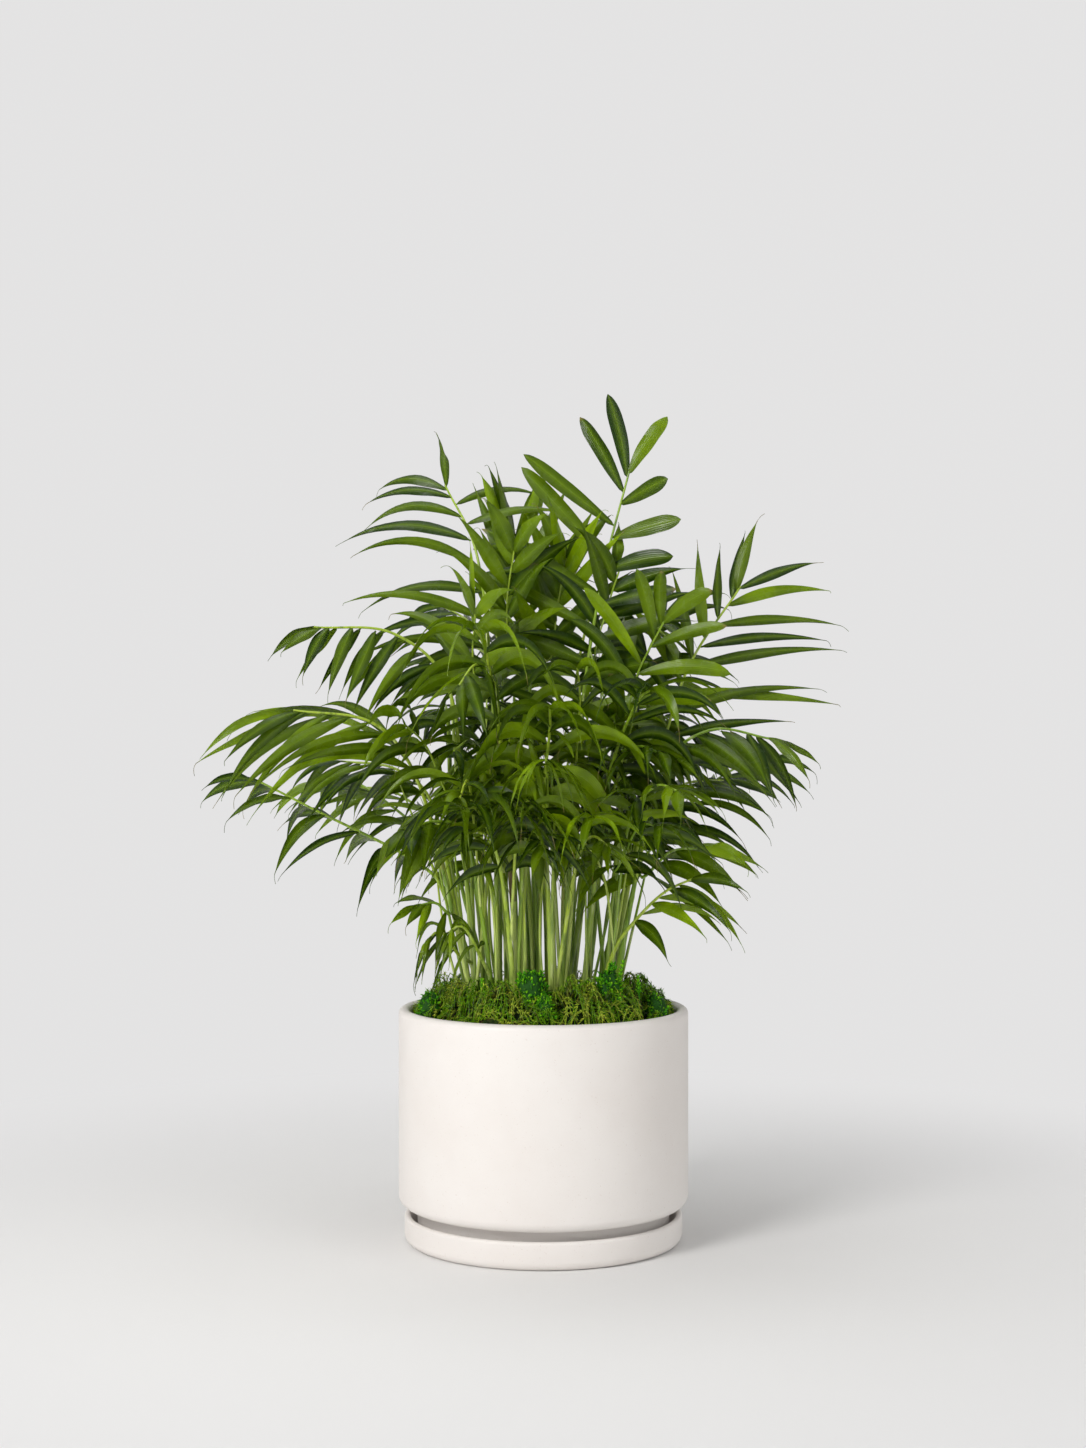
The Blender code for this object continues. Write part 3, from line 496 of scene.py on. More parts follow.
class Nodes:
    """A node tree while it is laid: each method adds nodes and gives the last one's output."""

    def __init__(self, tree):
        self.tree = tree

    def node(self, kind, sources=(), **settings):
        """A node with its settings, its inputs fed in order or by name, each with a value or an output."""
        made = self.tree.nodes.new(kind)
        for name, value in settings.items():
            setattr(made, name, value)
        for key, source in sources.items() if isinstance(sources, dict) else enumerate(sources):
            self.feed(made.inputs[key], source)
        return made

    def feed(self, socket, source):
        if isinstance(source, bpy.types.NodeSocket):
            self.tree.links.new(source, socket)
        else:
            socket.default_value = source

    def math(self, operation, a, b=0.0):
        return self.node("ShaderNodeMath", (a, b), operation=operation).outputs[0]


class Finish(Nodes):
    """A material while its nodes are laid."""

    def __init__(self, name):
        self.material = bpy.data.materials.new(name)
        self.material.use_nodes = True
        super().__init__(self.material.node_tree)
        self.shader = self.tree.nodes["Principled BSDF"]
        self.out = self.tree.nodes["Material Output"]

    def ramp(self, value, low, high, to_low=0.0, to_high=1.0):
        sources = {"Value": value, "From Min": low, "From Max": high, "To Min": to_low, "To Max": to_high}
        return self.node("ShaderNodeMapRange", sources, interpolation_type="SMOOTHSTEP").outputs[0]

    def mix(self, share, a, b):
        made = self.node("ShaderNodeMix", data_type="RGBA")
        for socket, source in zip((made.inputs[0], made.inputs[6], made.inputs[7]), (share, a, b)):
            self.feed(socket, source if not isinstance(source, tuple) else (*source, 1.0))
        return made.outputs[2]

    def noise(self, scale, detail=2.0, stretch=None):
        where = self.node("ShaderNodeTexCoord").outputs["Object"]
        if stretch:
            where = self.node("ShaderNodeMapping", {"Vector": where, "Scale": stretch}).outputs[0]
        sources = {"Vector": where, "Scale": scale, "Detail": detail}
        return self.node("ShaderNodeTexNoise", sources).outputs["Fac"]

    def mark(self, name):
        """A mark that the piece's corners carry."""
        return self.node("ShaderNodeAttribute", attribute_name=name).outputs["Fac"]

    def patches(self, scale, low, high, grain):
        """The shared node group of soft patches with a finer grain in them."""
        made = self.node("ShaderNodeGroup", node_tree=patch_group())
        for name, value in {"Scale": scale, "Low": low, "High": high, "Grain": grain}.items():
            made.inputs[name].default_value = value
        return made.outputs["Mask"]

    def bump(self, height, distance, strength=1.0):
        made = self.node("ShaderNodeBump", {"Strength": strength, "Distance": distance, "Height": height})
        self.surface(normal=made.outputs[0])

    def let_through(self, share, colour):
        """Lets a share of the light through the surface, tinted by the colour."""
        through = self.node("ShaderNodeBsdfTranslucent", {"Color": colour})
        mixed = self.node("ShaderNodeMixShader", (share, self.shader.outputs[0], through.outputs[0]))
        self.feed(self.out.inputs["Surface"], mixed.outputs[0])

    def surface(self, **sources):
        """Feeds the shader's own sockets by their names, each with a value or an output."""
        for name, source in sources.items():
            self.feed(self.shader.inputs[name.replace("_", " ").title().replace("Ior", "IOR")], source)


def patch_group():
    """Soft patches: noise at one scale, roughened by noise at six times that scale."""
    name = "soft patches"
    if name in bpy.data.node_groups:
        return bpy.data.node_groups[name]
    group = bpy.data.node_groups.new(name, "ShaderNodeTree")
    for label, value in (("Scale", 20.0), ("Low", 0.4), ("High", 0.6), ("Grain", 0.3)):
        socket = group.interface.new_socket(name=label, in_out="INPUT", socket_type="NodeSocketFloat")
        socket.default_value = value
    group.interface.new_socket(name="Mask", in_out="OUTPUT", socket_type="NodeSocketFloat")
    nodes = Nodes(group)
    given = nodes.node("NodeGroupInput").outputs
    where = nodes.node("ShaderNodeTexCoord").outputs["Object"]
    broad, fine = (
        nodes.node("ShaderNodeTexNoise", {"Vector": where, "Scale": scale}).outputs["Fac"]
        for scale in (given["Scale"], nodes.math("MULTIPLY", given["Scale"], 6.0))
    )
    grain = nodes.math("MULTIPLY", nodes.math("SUBTRACT", fine, 0.5), given["Grain"])
    levels = {"Value": nodes.math("ADD", broad, grain), "From Min": given["Low"], "From Max": given["High"]}
    nodes.node("NodeGroupOutput", {"Mask": nodes.node("ShaderNodeMapRange", levels).outputs[0]})
    return group


def ceramic_finish():
    """Matt off-white glaze: a warm tint that pools unevenly, faint specks and a fine tooth."""
    finish = Finish("matt off-white glaze")
    pools = finish.patches(14.0, 0.35, 0.65, 0.25)
    pooled = finish.mix(pools, (0.845, 0.800, 0.765), (0.870, 0.832, 0.800))
    specks = finish.ramp(finish.noise(900.0, 1.0), 0.70, 0.78)
    colour = finish.mix(finish.math("MULTIPLY", specks, 0.35), pooled, (0.60, 0.50, 0.42))
    finish.surface(base_color=colour, roughness=finish.ramp(finish.noise(60.0), 0.3, 0.7, 0.46, 0.56))
    finish.bump(finish.noise(420.0, 3.0), 0.00012, 0.5)
    return finish.material


def leaf_finish():
    """Palm leaflet: deep green, lighter along its midrib, darker at its root as painted shade, with fine
    parallel veins and a soft gloss.
    """
    finish = Finish("palm leaf")
    across, along, tone = finish.mark("across"), finish.mark("along"), finish.mark("tone")
    off_middle = finish.math("ABSOLUTE", across)
    green = finish.mix(tone, (0.016, 0.046, 0.001), (0.400, 0.610, 0.005))
    deeper = finish.math("MULTIPLY", finish.patches(40.0, 0.4, 0.62, 0.12), 0.50)
    green = finish.mix(deeper, green, (0.030, 0.075, 0.001))
    streak = finish.ramp(off_middle, 0.0, 0.75, 0.45, 0.0)
    # Painted shade: darker towards the leaflet's root, where it meets the rib
    green = finish.mix(finish.ramp(along, 0.0, 0.30, 0.6, 0.0), green, (0.020, 0.052, 0.001))
    green = finish.mix(streak, green, (0.210, 0.350, 0.006))
    midrib = finish.ramp(off_middle, 0.02, 0.09, 0.4, 0.0)
    green = finish.mix(midrib, green, (0.300, 0.430, 0.030))
    veins = finish.math("SINE", finish.math("MULTIPLY", across, 27.0))
    green = finish.mix(finish.ramp(veins, 0.4, 1.0, 0.0, 0.25), green, (0.040, 0.090, 0.002))
    old = finish.ramp(finish.mark("age"), 0.72, 0.80)
    tired = finish.math("MULTIPLY", finish.ramp(along, 0.93, 1.0), old)
    green = finish.mix(tired, green, (0.300, 0.240, 0.070))
    roughness = finish.ramp(finish.noise(180.0), 0.3, 0.7, 0.17, 0.31)
    finish.surface(base_color=green, roughness=roughness, specular_ior_level=0.38)
    rib = finish.ramp(off_middle, 0.0, 0.08, 1.0, 0.0)
    ridges = finish.math("ADD", finish.math("MULTIPLY", veins, 0.3), rib)
    finish.bump(ridges, 0.00018, 0.6)
    glow = finish.mix(streak, (0.080, 0.190, 0.001), (0.280, 0.480, 0.004))
    glow = finish.mix(finish.math("MULTIPLY", tone, 0.5), glow, (0.480, 0.720, 0.006))
    finish.let_through(0.32, glow)
    return finish.material


def stem_finish():
    """Cane and rib: pale at the foot, greener upward, with ring scars, streaks and brown old sheaths."""
    finish = Finish("palm cane")
    along, tone, worn = finish.mark("along"), finish.mark("tone"), finish.mark("age")
    low = finish.mix(tone, (0.190, 0.340, 0.020), (0.640, 0.760, 0.200))
    high = finish.mix(tone, (0.200, 0.360, 0.012), (0.440, 0.580, 0.040))
    colour = finish.mix(finish.ramp(along, 0.10, 0.42), low, high)
    streaks = finish.noise(90.0, 3.0, (3.0, 3.0, 0.22))
    colour = finish.mix(finish.ramp(streaks, 0.52, 0.68, 0.0, 0.65), colour, (0.070, 0.150, 0.010))
    colour = finish.mix(finish.ramp(streaks, 0.30, 0.42, 0.4, 0.0), colour, (0.760, 0.820, 0.420))
    husk = finish.mix(finish.noise(260.0, 3.0), (0.070, 0.045, 0.016), (0.260, 0.185, 0.090))
    frayed = finish.ramp(finish.math("ADD", worn, finish.math("MULTIPLY", streaks, 0.5)), 0.85, 1.10)
    colour = finish.mix(frayed, colour, husk)
    roughness = finish.ramp(frayed, 0.0, 1.0, 0.32, 0.80)
    finish.surface(base_color=colour, roughness=roughness, specular_ior_level=0.6)
    finish.bump(finish.noise(500.0, 2.0, (2.0, 2.0, 0.3)), 0.00020, 0.5)
    return finish.material


def moss_finish(name, dark, mid, light, gloss):
    """Moss leaves: dark at the roots of a spray, light at its ends, and browner where they are old; the
    dark roots are partly painted shade and the light ends partly painted highlight.
    """
    finish = Finish(name)
    along, tone, age = finish.mark("along"), finish.mark("tone"), finish.mark("age")
    # Darker at the root: partly the moss's older growth, partly painted shade deep in the mat
    colour = finish.mix(finish.ramp(along, 0.0, 0.6), dark, mid)
    # Lighter at the ends: partly new growth, partly painted highlight
    bright = finish.math("MULTIPLY", finish.ramp(tone, 0.45, 0.95), finish.ramp(along, 0.2, 1.0, 0.2, 1.0))
    colour = finish.mix(bright, colour, light)
    colour = finish.mix(finish.ramp(age, 0.90, 0.99, 0.0, 0.85), colour, (0.120, 0.075, 0.022))
    finish.surface(base_color=colour, roughness=gloss, specular_ior_level=0.35)
    finish.let_through(0.25, colour)
    return finish.material


def underlay_finish():
    """The mat below the sprays: dark green and brown, crumbly; its near-black green is partly painted shade
    in the gaps between the sprays.
    """
    finish = Finish("moss underlay")
    crumbs, bare = finish.patches(120.0, 0.38, 0.62, 0.8), finish.patches(60.0, 0.56, 0.66, 0.6)
    # Near-black green: partly the mat's own dark colour, partly painted shade in the gaps between sprays
    colour = finish.mix(crumbs, (0.006, 0.016, 0.003), (0.028, 0.060, 0.006))
    colour = finish.mix(bare, colour, (0.060, 0.034, 0.014))
    finish.surface(base_color=colour, roughness=0.9, specular_ior_level=0.2)
    finish.bump(finish.noise(520.0, 4.0), 0.0012)
    return finish.material


def soil_finish():
    """Moist potting mix: dark crumbs with a few pale ones."""
    finish = Finish("potting mix")
    crumbs = finish.patches(160.0, 0.40, 0.60, 0.9)
    colour = finish.mix(crumbs, (0.020, 0.012, 0.007), (0.075, 0.046, 0.028))
    colour = finish.mix(finish.ramp(finish.noise(420.0, 1.0), 0.66, 0.70), colour, (0.240, 0.190, 0.130))
    finish.surface(base_color=colour, roughness=0.92, specular_ior_level=0.2)
    finish.bump(finish.noise(380.0, 4.0), 0.0016)
    return finish.material


# Pieces made of rings


class Growth:
    """The corners, faces and marks of a piece while it is made."""

    def __init__(self):
        self.places, self.marks, self.faces, self.finishes = [], [], [], []
        self.count = 0

    def rings(self, rings, across, along, tone, age, finish=0):
        """A closed tube through rings of corners, in order round their run, with both ends capped."""
        rows, sides, _ = rings.shape
        marks = np.zeros((rows, sides, 4))
        for k, mark in enumerate((across, along, tone, age)):
            marks[:, :, k] = mark
        corner = self.count + np.arange(rows * sides).reshape(rows, sides)
        beside = np.roll(corner, -1, axis=1)
        walls = np.stack([corner[:-1], beside[:-1], beside[1:], corner[1:]], axis=-1).reshape(-1, 4)
        self.faces += walls.tolist() + [corner[0][::-1].tolist(), corner[-1].tolist()]
        self.finishes += [finish] * (len(walls) + 2)
        self.places.append(rings.reshape(-1, 3))
        self.marks.append(marks.reshape(-1, 4))
        self.count += rows * sides

    def spikes(self, roots, tips, across, half, thick, along, tone, age):
        """Many small pointed leaves at once: each a flat three-sided spike from its root to its tip."""
        up = unit(np.cross(across, tips - roots))
        corners = np.stack([roots - across * half, roots + across * half, roots + up * thick, tips], axis=1)
        first = self.count + 4 * np.arange(len(roots))[:, None]
        sides = np.concatenate([first + np.array(side) for side in ((0, 1, 3), (1, 2, 3), (2, 0, 3))])
        marks = np.zeros((len(roots), 4, 4))
        for k, mark in enumerate((0.0, along, tone, age)):
            marks[:, :, k] = np.broadcast_to(np.asarray(mark, float).reshape(-1, 1), (len(roots), 4))
        # A spike's tip is marked further along, so it takes more of the light tip colour: partly painted
        # highlight
        marks[:, 3, 1] = np.minimum(marks[:, 3, 1] + 0.35, 1.0)
        self.faces += sides.tolist()
        self.finishes += [0] * len(sides)
        self.places.append(corners.reshape(-1, 3))
        self.marks.append(marks.reshape(-1, 4))
        self.count += 4 * len(roots)

    def piece(self, name, finishes, sharp=None):
        mesh = bpy.data.meshes.new(name)
        mesh.from_pydata(np.concatenate(self.places).tolist(), [], self.faces)
        marks = np.concatenate(self.marks)
        for k, mark in enumerate(("across", "along", "tone", "age")):
            layer = mesh.attributes.new(mark, "FLOAT", "POINT")
            layer.data.foreach_set("value", marks[:, k].astype(np.float32))
        for finish in finishes:
            mesh.materials.append(finish)
        mesh.polygons.foreach_set("material_index", np.array(self.finishes, dtype=np.int32))
        mesh.shade_smooth()
        if sharp:
            mesh.set_sharp_from_angle(angle=math.radians(sharp))
        return placed(name, mesh)


def settle(piece, slot, *nodes):
    """Rides a piece on the part and hides the nodes that it stands for; the slot is not used."""
    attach(piece, "root")
    if nodes:
        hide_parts(*nodes)
    return piece


# Turned pieces


def arc(centre, radius, start, end, steps):
    """Points (r, z) of an arc in the profile's plane, angles in degrees from +r towards +z."""
    angles = [math.radians(blend(start, end, k / steps)) for k in range(steps + 1)]
    return [(centre[0] + radius * math.cos(a), centre[1] + radius * math.sin(a)) for a in angles]


def turned(name, profile, closed, finish):
    """A profile of (r, z) points turned about Z: it runs down its outer side, top to bottom."""
    bm = bmesh.new()
    corners = [bm.verts.new((r, 0.0, z)) for r, z in profile]
    for a, b in zip(corners, corners[1:] + corners[:1] if closed else corners[1:]):
        bm.edges.new((a, b))
    mesh = bpy.data.meshes.new(name)
    bm.to_mesh(mesh)
    bm.free()
    mesh.materials.append(finish)
    obj = placed(name, mesh)
    screw = obj.modifiers.new("turned", "SCREW")
    screw.steps = TURN_STEPS
    screw.render_steps = TURN_STEPS
    screw.use_merge_vertices = True
    screw.merge_threshold = 0.00001
    screw.use_smooth_shade = True
    return obj


def corner_at(place, turn, radius=GLAZE_ROUND):
    """A small rounded corner of the glaze: its arc turns between two angles."""
    r, z = place
    start, end = turn
    middle = math.radians((start + end) / 2)
    centre = (r - radius * math.sqrt(2) * math.cos(middle), z - radius * math.sqrt(2) * math.sin(middle))
    return arc(centre, radius, start, end, 4)


def make_pot(finish):
    """The pot: its lip, wall, rounded skirt, inset foot with a recess, drain hole and floor."""
    lip = POT_WALL / 2
    foot_z = SAUCER_FLOOR + REST_GAP
    recess = foot_z + FOOT_RECESS
    floor_z = recess + POT_FLOOR
    inner = POT_RADIUS - POT_WALL
    profile = arc((POT_RADIUS - lip, POT_TOP - lip), lip, 90, 0, 8)
    profile += [(POT_RADIUS, blend(POT_TOP - lip, SKIRT_Z + SKIRT_ROUND, k / 12)) for k in range(1, 12)]
    profile += arc((POT_RADIUS - SKIRT_ROUND, SKIRT_Z + SKIRT_ROUND), SKIRT_ROUND, 0, -90, 10)
    profile += [(FOOT_RADIUS + FOOT_BEVEL, SKIRT_Z), (FOOT_RADIUS, SKIRT_Z - FOOT_BEVEL)]
    profile += corner_at((FOOT_RADIUS, foot_z), (0, -90))
    profile += corner_at((FOOT_RADIUS - FOOT_RING, foot_z), (-90, -180))
    profile += [(FOOT_RADIUS - FOOT_RING, recess), (DRAIN_RADIUS, recess), (DRAIN_RADIUS, floor_z)]
    profile += [(FOOT_RADIUS - POT_WALL, floor_z), (inner, SKIRT_Z + POT_WALL)]
    profile += [(inner, blend(SKIRT_Z + POT_WALL, POT_TOP - lip, k / 8)) for k in range(1, 8)]
    profile += arc((POT_RADIUS - lip, POT_TOP - lip), lip, 180, 90, 8)[:-1]
    return turned("ceramic_pot", profile, True, finish)


def make_saucer(finish):
    """The saucer: a level floor, a low upright rim and a rounded underside edge."""
    lip = SAUCER_WALL / 2
    inner = SAUCER_RADIUS - SAUCER_WALL
    bend = (inner - SAUCER_HOLLOW, SAUCER_FLOOR + SAUCER_HOLLOW)
    profile = [(0.0, SAUCER_FLOOR), (inner - SAUCER_HOLLOW, SAUCER_FLOOR)]
    profile += arc(bend, SAUCER_HOLLOW, -90, 0, 6)[1:]
    profile += arc((SAUCER_RADIUS - lip, SAUCER_TOP - lip), lip, 180, 0, 12)
    profile += arc((SAUCER_RADIUS - SAUCER_ROUND, SAUCER_ROUND), SAUCER_ROUND, 0, -90, 10)
    profile += [(0.0, 0.0)]
    return turned("ceramic_saucer", profile, False, finish)


# Growing the palms: the same rules, draws and order as their solids


def soil_height(r):
    """The soil's surface: a low cone that the palms stand in, and a level shoulder round it."""
    if r >= DOME_RADIUS:
        return SHOULDER_Z
    return blend(DOME_TOP, DOME_EDGE, r / DOME_RADIUS)


def smooth_line(knots):
    """A fine line along a Catmull-Rom curve through the knots, with KNOT_STEPS steps between two."""
    knots = [Vector(k) for k in knots]
    ends = [2 * knots[0] - knots[1], *knots, 2 * knots[-1] - knots[-2]]
    fine = []
    for a, b, c, d in zip(ends, ends[1:], ends[2:], ends[3:]):
        for step in range(KNOT_STEPS):
            t = step / KNOT_STEPS
            bend = (2 * a - 5 * b + 4 * c - d) + t * (3 * (b - c) + d - a)
            fine.append(b + 0.5 * t * ((c - a) + t * bend))
    fine.append(knots[-1])
    return fine


def lengths_along(points):
    """How far along the line each of its points lies."""
    steps = [(q - p).length for p, q in zip(points, points[1:])]
    return np.concatenate([[0], np.cumsum(steps)])


def evenly(points, count):
    """Points evenly spaced along a line, both its ends included."""
    reach = lengths_along(points)
    places = np.linspace(0, reach[-1], count)
    return [Vector(p) for p in zip(*(np.interp(places, reach, [q[k] for q in points]) for k in range(3)))]


class Stem:
    """The line and the radii of a cane with the rib that it runs on as, or of a fork from it."""

    def __init__(self, start, frond, fork_from=None):
        knots = [start, frond.neck, frond.bow, frond.tip]
        if not fork_from:
            knots.insert(1, blend(Vector(start), Vector(frond.neck), 0.5) + Vector((0, 0, CANE_RISE)))
        self.line = smooth_line(knots)
        neck = (len(knots) - 3) * KNOT_STEPS
        cane_points = FORK_POINTS if fork_from else CANE_POINTS
        self.frond = frond
        self.points = evenly(self.line[:neck + 1], cane_points)[:-1] + evenly(self.line[neck:], RIB_POINTS)
        self.reach = lengths_along(self.points)
        self.neck_at = self.reach[cane_points - 1] / self.reach[-1]
        self.stations = (0.0, PETIOLE_AT * self.neck_at, self.neck_at, 1.0)
        radii = (CANE_RADIUS, PETIOLE_RADIUS, RIB_RADIUS, RIB_TIP_RADIUS)
        limit = FORK_SHARE * fork_from if fork_from else CANE_RADIUS
        shares = self.reach / self.reach[-1]
        self.radii = [min(float(np.interp(s, self.stations, radii)), limit) for s in shares]
        self.buried = not fork_from

    def at(self, share):
        """The point, the direction and the radius at a share of the stem's length."""
        place = share * self.reach[-1]
        i = held(int(np.searchsorted(self.reach, place, side="right")) - 1, 0, len(self.points) - 2)
        part = (place - self.reach[i]) / (self.reach[i + 1] - self.reach[i])
        before = self.points[max(i - 1, 0)]
        after = self.points[min(i + 2, len(self.points) - 1)]
        run = blend(self.points[i + 1] - before, after - self.points[i], part).normalized()
        return blend(self.points[i], self.points[i + 1], part), run, blend(*self.radii[i:i + 2], part)

    def mesh(self):
        """A tapered tube with welded caps, made from a curve that is then removed."""
        points, radii = list(self.points), list(self.radii)
        if self.buried:
            points.insert(0, points[0] - Vector((0, 0, STEM_DEPTH + START_RISE)))
            radii.insert(0, radii[0])
        data = bpy.data.curves.new("stem", "CURVE")
        data.dimensions = "3D"
        data.bevel_depth = 1.0
        data.bevel_resolution = 0
        data.use_fill_caps = True
        spline = data.splines.new("POLY")
        spline.points.add(len(points) - 1)
        for target, place, radius in zip(spline.points, points, radii):
            target.co = (*place, 1.0)
            target.radius = radius
            target.tilt = TILT
        obj = placed("stem", data)
        made = bpy.data.meshes.new_from_object(obj.evaluated_get(bpy.context.evaluated_depsgraph_get()))
        bpy.data.objects.remove(obj)
        bpy.data.curves.remove(data)
        bm = bmesh.new()
        bm.from_mesh(made)
        bpy.data.meshes.remove(made)
        bmesh.ops.remove_doubles(bm, verts=bm.verts, dist=0.00001)
        return bm


def on_soil(foot, rise=0.0):
    """The place on the soil's surface where a palm stands, or a little over it."""
    return Vector((*foot, soil_height(math.hypot(*foot)) + rise))


def stems_of(palm):
    """A palm's main stem, and the fork that carries its second frond."""
    stems = [Stem(on_soil(palm.foot, START_RISE), palm.frond)]
    if palm.second:
        place, _, radius = stems[0].at(palm.fork)
        stems.append(Stem(place, palm.second, fork_from=radius))
    return stems


Leaflet = namedtuple("Leaflet", "root run across droop length width widest twist root_width")


def length_share(t):
    """How long a leaflet is beside the longest one, from the neck at 0 to the tip at 1."""
    if t < 0.35:
        return 1 - 0.22 * ((0.35 - t) / 0.35) ** 2
    return 1 - 0.38 * ((t - 0.35) / 0.65) ** 1.6


def width_share(s, widest):
    """How wide a blade is beside its widest place, from its root at 0 to its tip at 1."""
    if s < widest:
        return 0.30 + 0.70 * math.sin(math.pi / 2 * s / widest)
    past = (s - widest) / (1 - widest)
    return max(math.cos(math.pi / 2 * past) ** 0.85 * (1 - 0.25 * past), 0.0)


def leaflet_line(leaf):
    """The blade's middle line as it sags: its points, and its direction at each."""
    place, points, runs = leaf.root.copy(), [leaf.root.copy()], []
    step = leaf.length / LINE_STEPS
    for i in range(LINE_STEPS):
        s = (i + 0.5) / LINE_STEPS
        run = (leaf.run + Vector((0, 0, -leaf.droop * s**1.4))).normalized()
        runs.append(run)
        place = place + run * step
        points.append(place)
    runs.append(runs[-1])
    return points, runs


def blade(leaf, grow=0.0, start=0.0):
    """A leaflet as its solid has it: a three-sided sphere drawn out into a keeled blade, for tests."""
    points, runs = leaflet_line(leaf)
    root_half, root_high, root_end = (leaf.root_width * share for share in ROOT_RING)
    bm = bmesh.new()
    rings = len(BLADE_STATIONS) - 1
    bmesh.ops.create_uvsphere(bm, u_segments=BLADE_CORNERS, v_segments=rings, radius=1.0)
    for corner in bm.verts:
        ring = round(math.acos(held(corner.co.z, -1.0, 1.0)) / math.pi * rings)
        around = math.atan2(corner.co.y, corner.co.x)
        s = max(BLADE_STATIONS[ring], start)
        i = min(int(s * LINE_STEPS), LINE_STEPS - 1)
        middle = blend(points[i], points[i + 1], s * LINE_STEPS - i)
        run = blend(runs[i], runs[i + 1], s * LINE_STEPS - i).normalized()
        across = (leaf.across - run * leaf.across.dot(run)).normalized()
        across = Matrix.Rotation(math.radians(leaf.twist) * s, 3, run) @ across
        up = across.cross(run)
        if ring == 0:
            corner.co = middle - run * (root_end + grow)
            continue
        if ring == rings:
            corner.co = middle + run * grow
            continue
        half = leaf.width * width_share(s, leaf.widest) / 2 + grow
        low, high = 0.0, BLADE_THICK
        if ring == 1:
            half, low, high = root_half + grow, -root_high, root_high
        rise = blend(low - grow, high + grow, (math.sin(around) + 0.5) / 1.5)
        corner.co = middle + across * half * math.cos(around) / math.cos(math.pi / 6) + up * rise
    return bm


def leaflet_places(pairs):
    """(share of the rib, side, last pair or not) of each leaflet, the sides a little out of step."""
    for k in range(pairs):
        for side in (1, -1):
            t = (k + (0.0 if side > 0 else 0.35)) / (pairs - 1)
            yield min(t, 1.0), side, k == pairs - 1


def ways_aside():
    """How a leaflet is bent aside, mildest first: degrees forward, degrees up, share of its length."""
    ways = [
        (turn, lift, share)
        for turn in (0, 7, -7, 14, -14, 22, -22)
        for lift in (0, 8, -8, 16, -16, 26, -26, 38, -38)
        for share in (1.0, 0.85, 0.7, 0.5)
    ]
    return sorted(ways, key=lambda way: abs(way[0]) + abs(way[1]) + 90 * (1 - way[2]))


WAYS_ASIDE = ways_aside()


def make_leaflet(stem, t, side, last, draw, way=(0, 0, 1.0)):
    """One leaflet at share t of the rib, on the right (side 1) or left (side -1), bent aside a way.

    The two sides of the last pair differ in length half as much as the others do.
    """
    frond = stem.frond
    turn, lift, share = way
    root, run, radius = stem.at(blend(stem.neck_at, 1.0, t))
    toward = compass(frond.spread)
    right = (toward - run * toward.dot(run)).normalized()
    out = right.cross(run)
    longer, further = frond.right if side > 0 else frond.left
    usual = TERMINAL_ANGLE if last else blend(FIRST_ANGLE, LAST_ANGLE, t) - frond.forward - further
    angle = math.radians(usual + DRAWN_ANGLE * draw[0] - turn)
    rise = math.radians(frond.lift * (TERMINAL_LIFT if last else 1.0) + DRAWN_RISE * draw[1] + lift)
    flat = math.cos(angle) * run + math.sin(angle) * side * right
    if last:
        longer = (1 + longer) / 2
        root = root - run * radius * TERMINAL_BACK[side < 0] + out * side * TERMINAL_APART
    return Leaflet(
        root=root,
        run=math.cos(rise) * flat + math.sin(rise) * out,
        across=-side * run,
        droop=frond.droop * (1 + DRAWN_DROOP * draw[2]),
        length=frond.length * length_share(t) * (1 + DRAWN_SIZE * draw[3]) * longer * share,
        width=frond.width * (1 + DRAWN_SIZE * draw[4]),
        widest=frond.widest + (TERMINAL_WIDEST if last else 0.0),
        twist=DRAWN_TWIST * draw[5],
        root_width=radius * (TERMINAL_ROOT if last else 2.0),
    )


class Thicket:
    """What already grows, so that the next piece can be bent clear of it."""

    def __init__(self):
        self.grown = []

    def add(self, owner, bm, kind="solid"):
        places = np.array([v.co for v in bm.verts])
        self.grown.append((owner, kind, places.min(axis=0), places.max(axis=0), BVHTree.FromBMesh(bm)))
        bm.free()

    def crosses(self, bm, wanted):
        """Whether this piece crosses one whose owner and kind are wanted."""
        places = np.array([v.co for v in bm.verts])
        low, high = places.min(axis=0), places.max(axis=0)
        tree = BVHTree.FromBMesh(bm)
        bm.free()
        for owner, kind, other_low, other_high, other_tree in self.grown:
            if not wanted(owner, kind) or (low > other_high).any() or (high < other_low).any():
                continue
            if tree.overlap(other_tree):
                return True
        return False

    def crosses_others(self, name, bm):
        return self.crosses(bm, lambda owner, kind: owner != name)

    def crosses_siblings(self, name, bm):
        return self.crosses(bm, lambda owner, kind: owner == name and kind == "leaflet")


def swollen(bm, grow):
    """The bmesh with its corners moved out along their normals."""
    bm.normal_update()
    for corner in bm.verts:
        corner.co += corner.normal * grow
    return bm


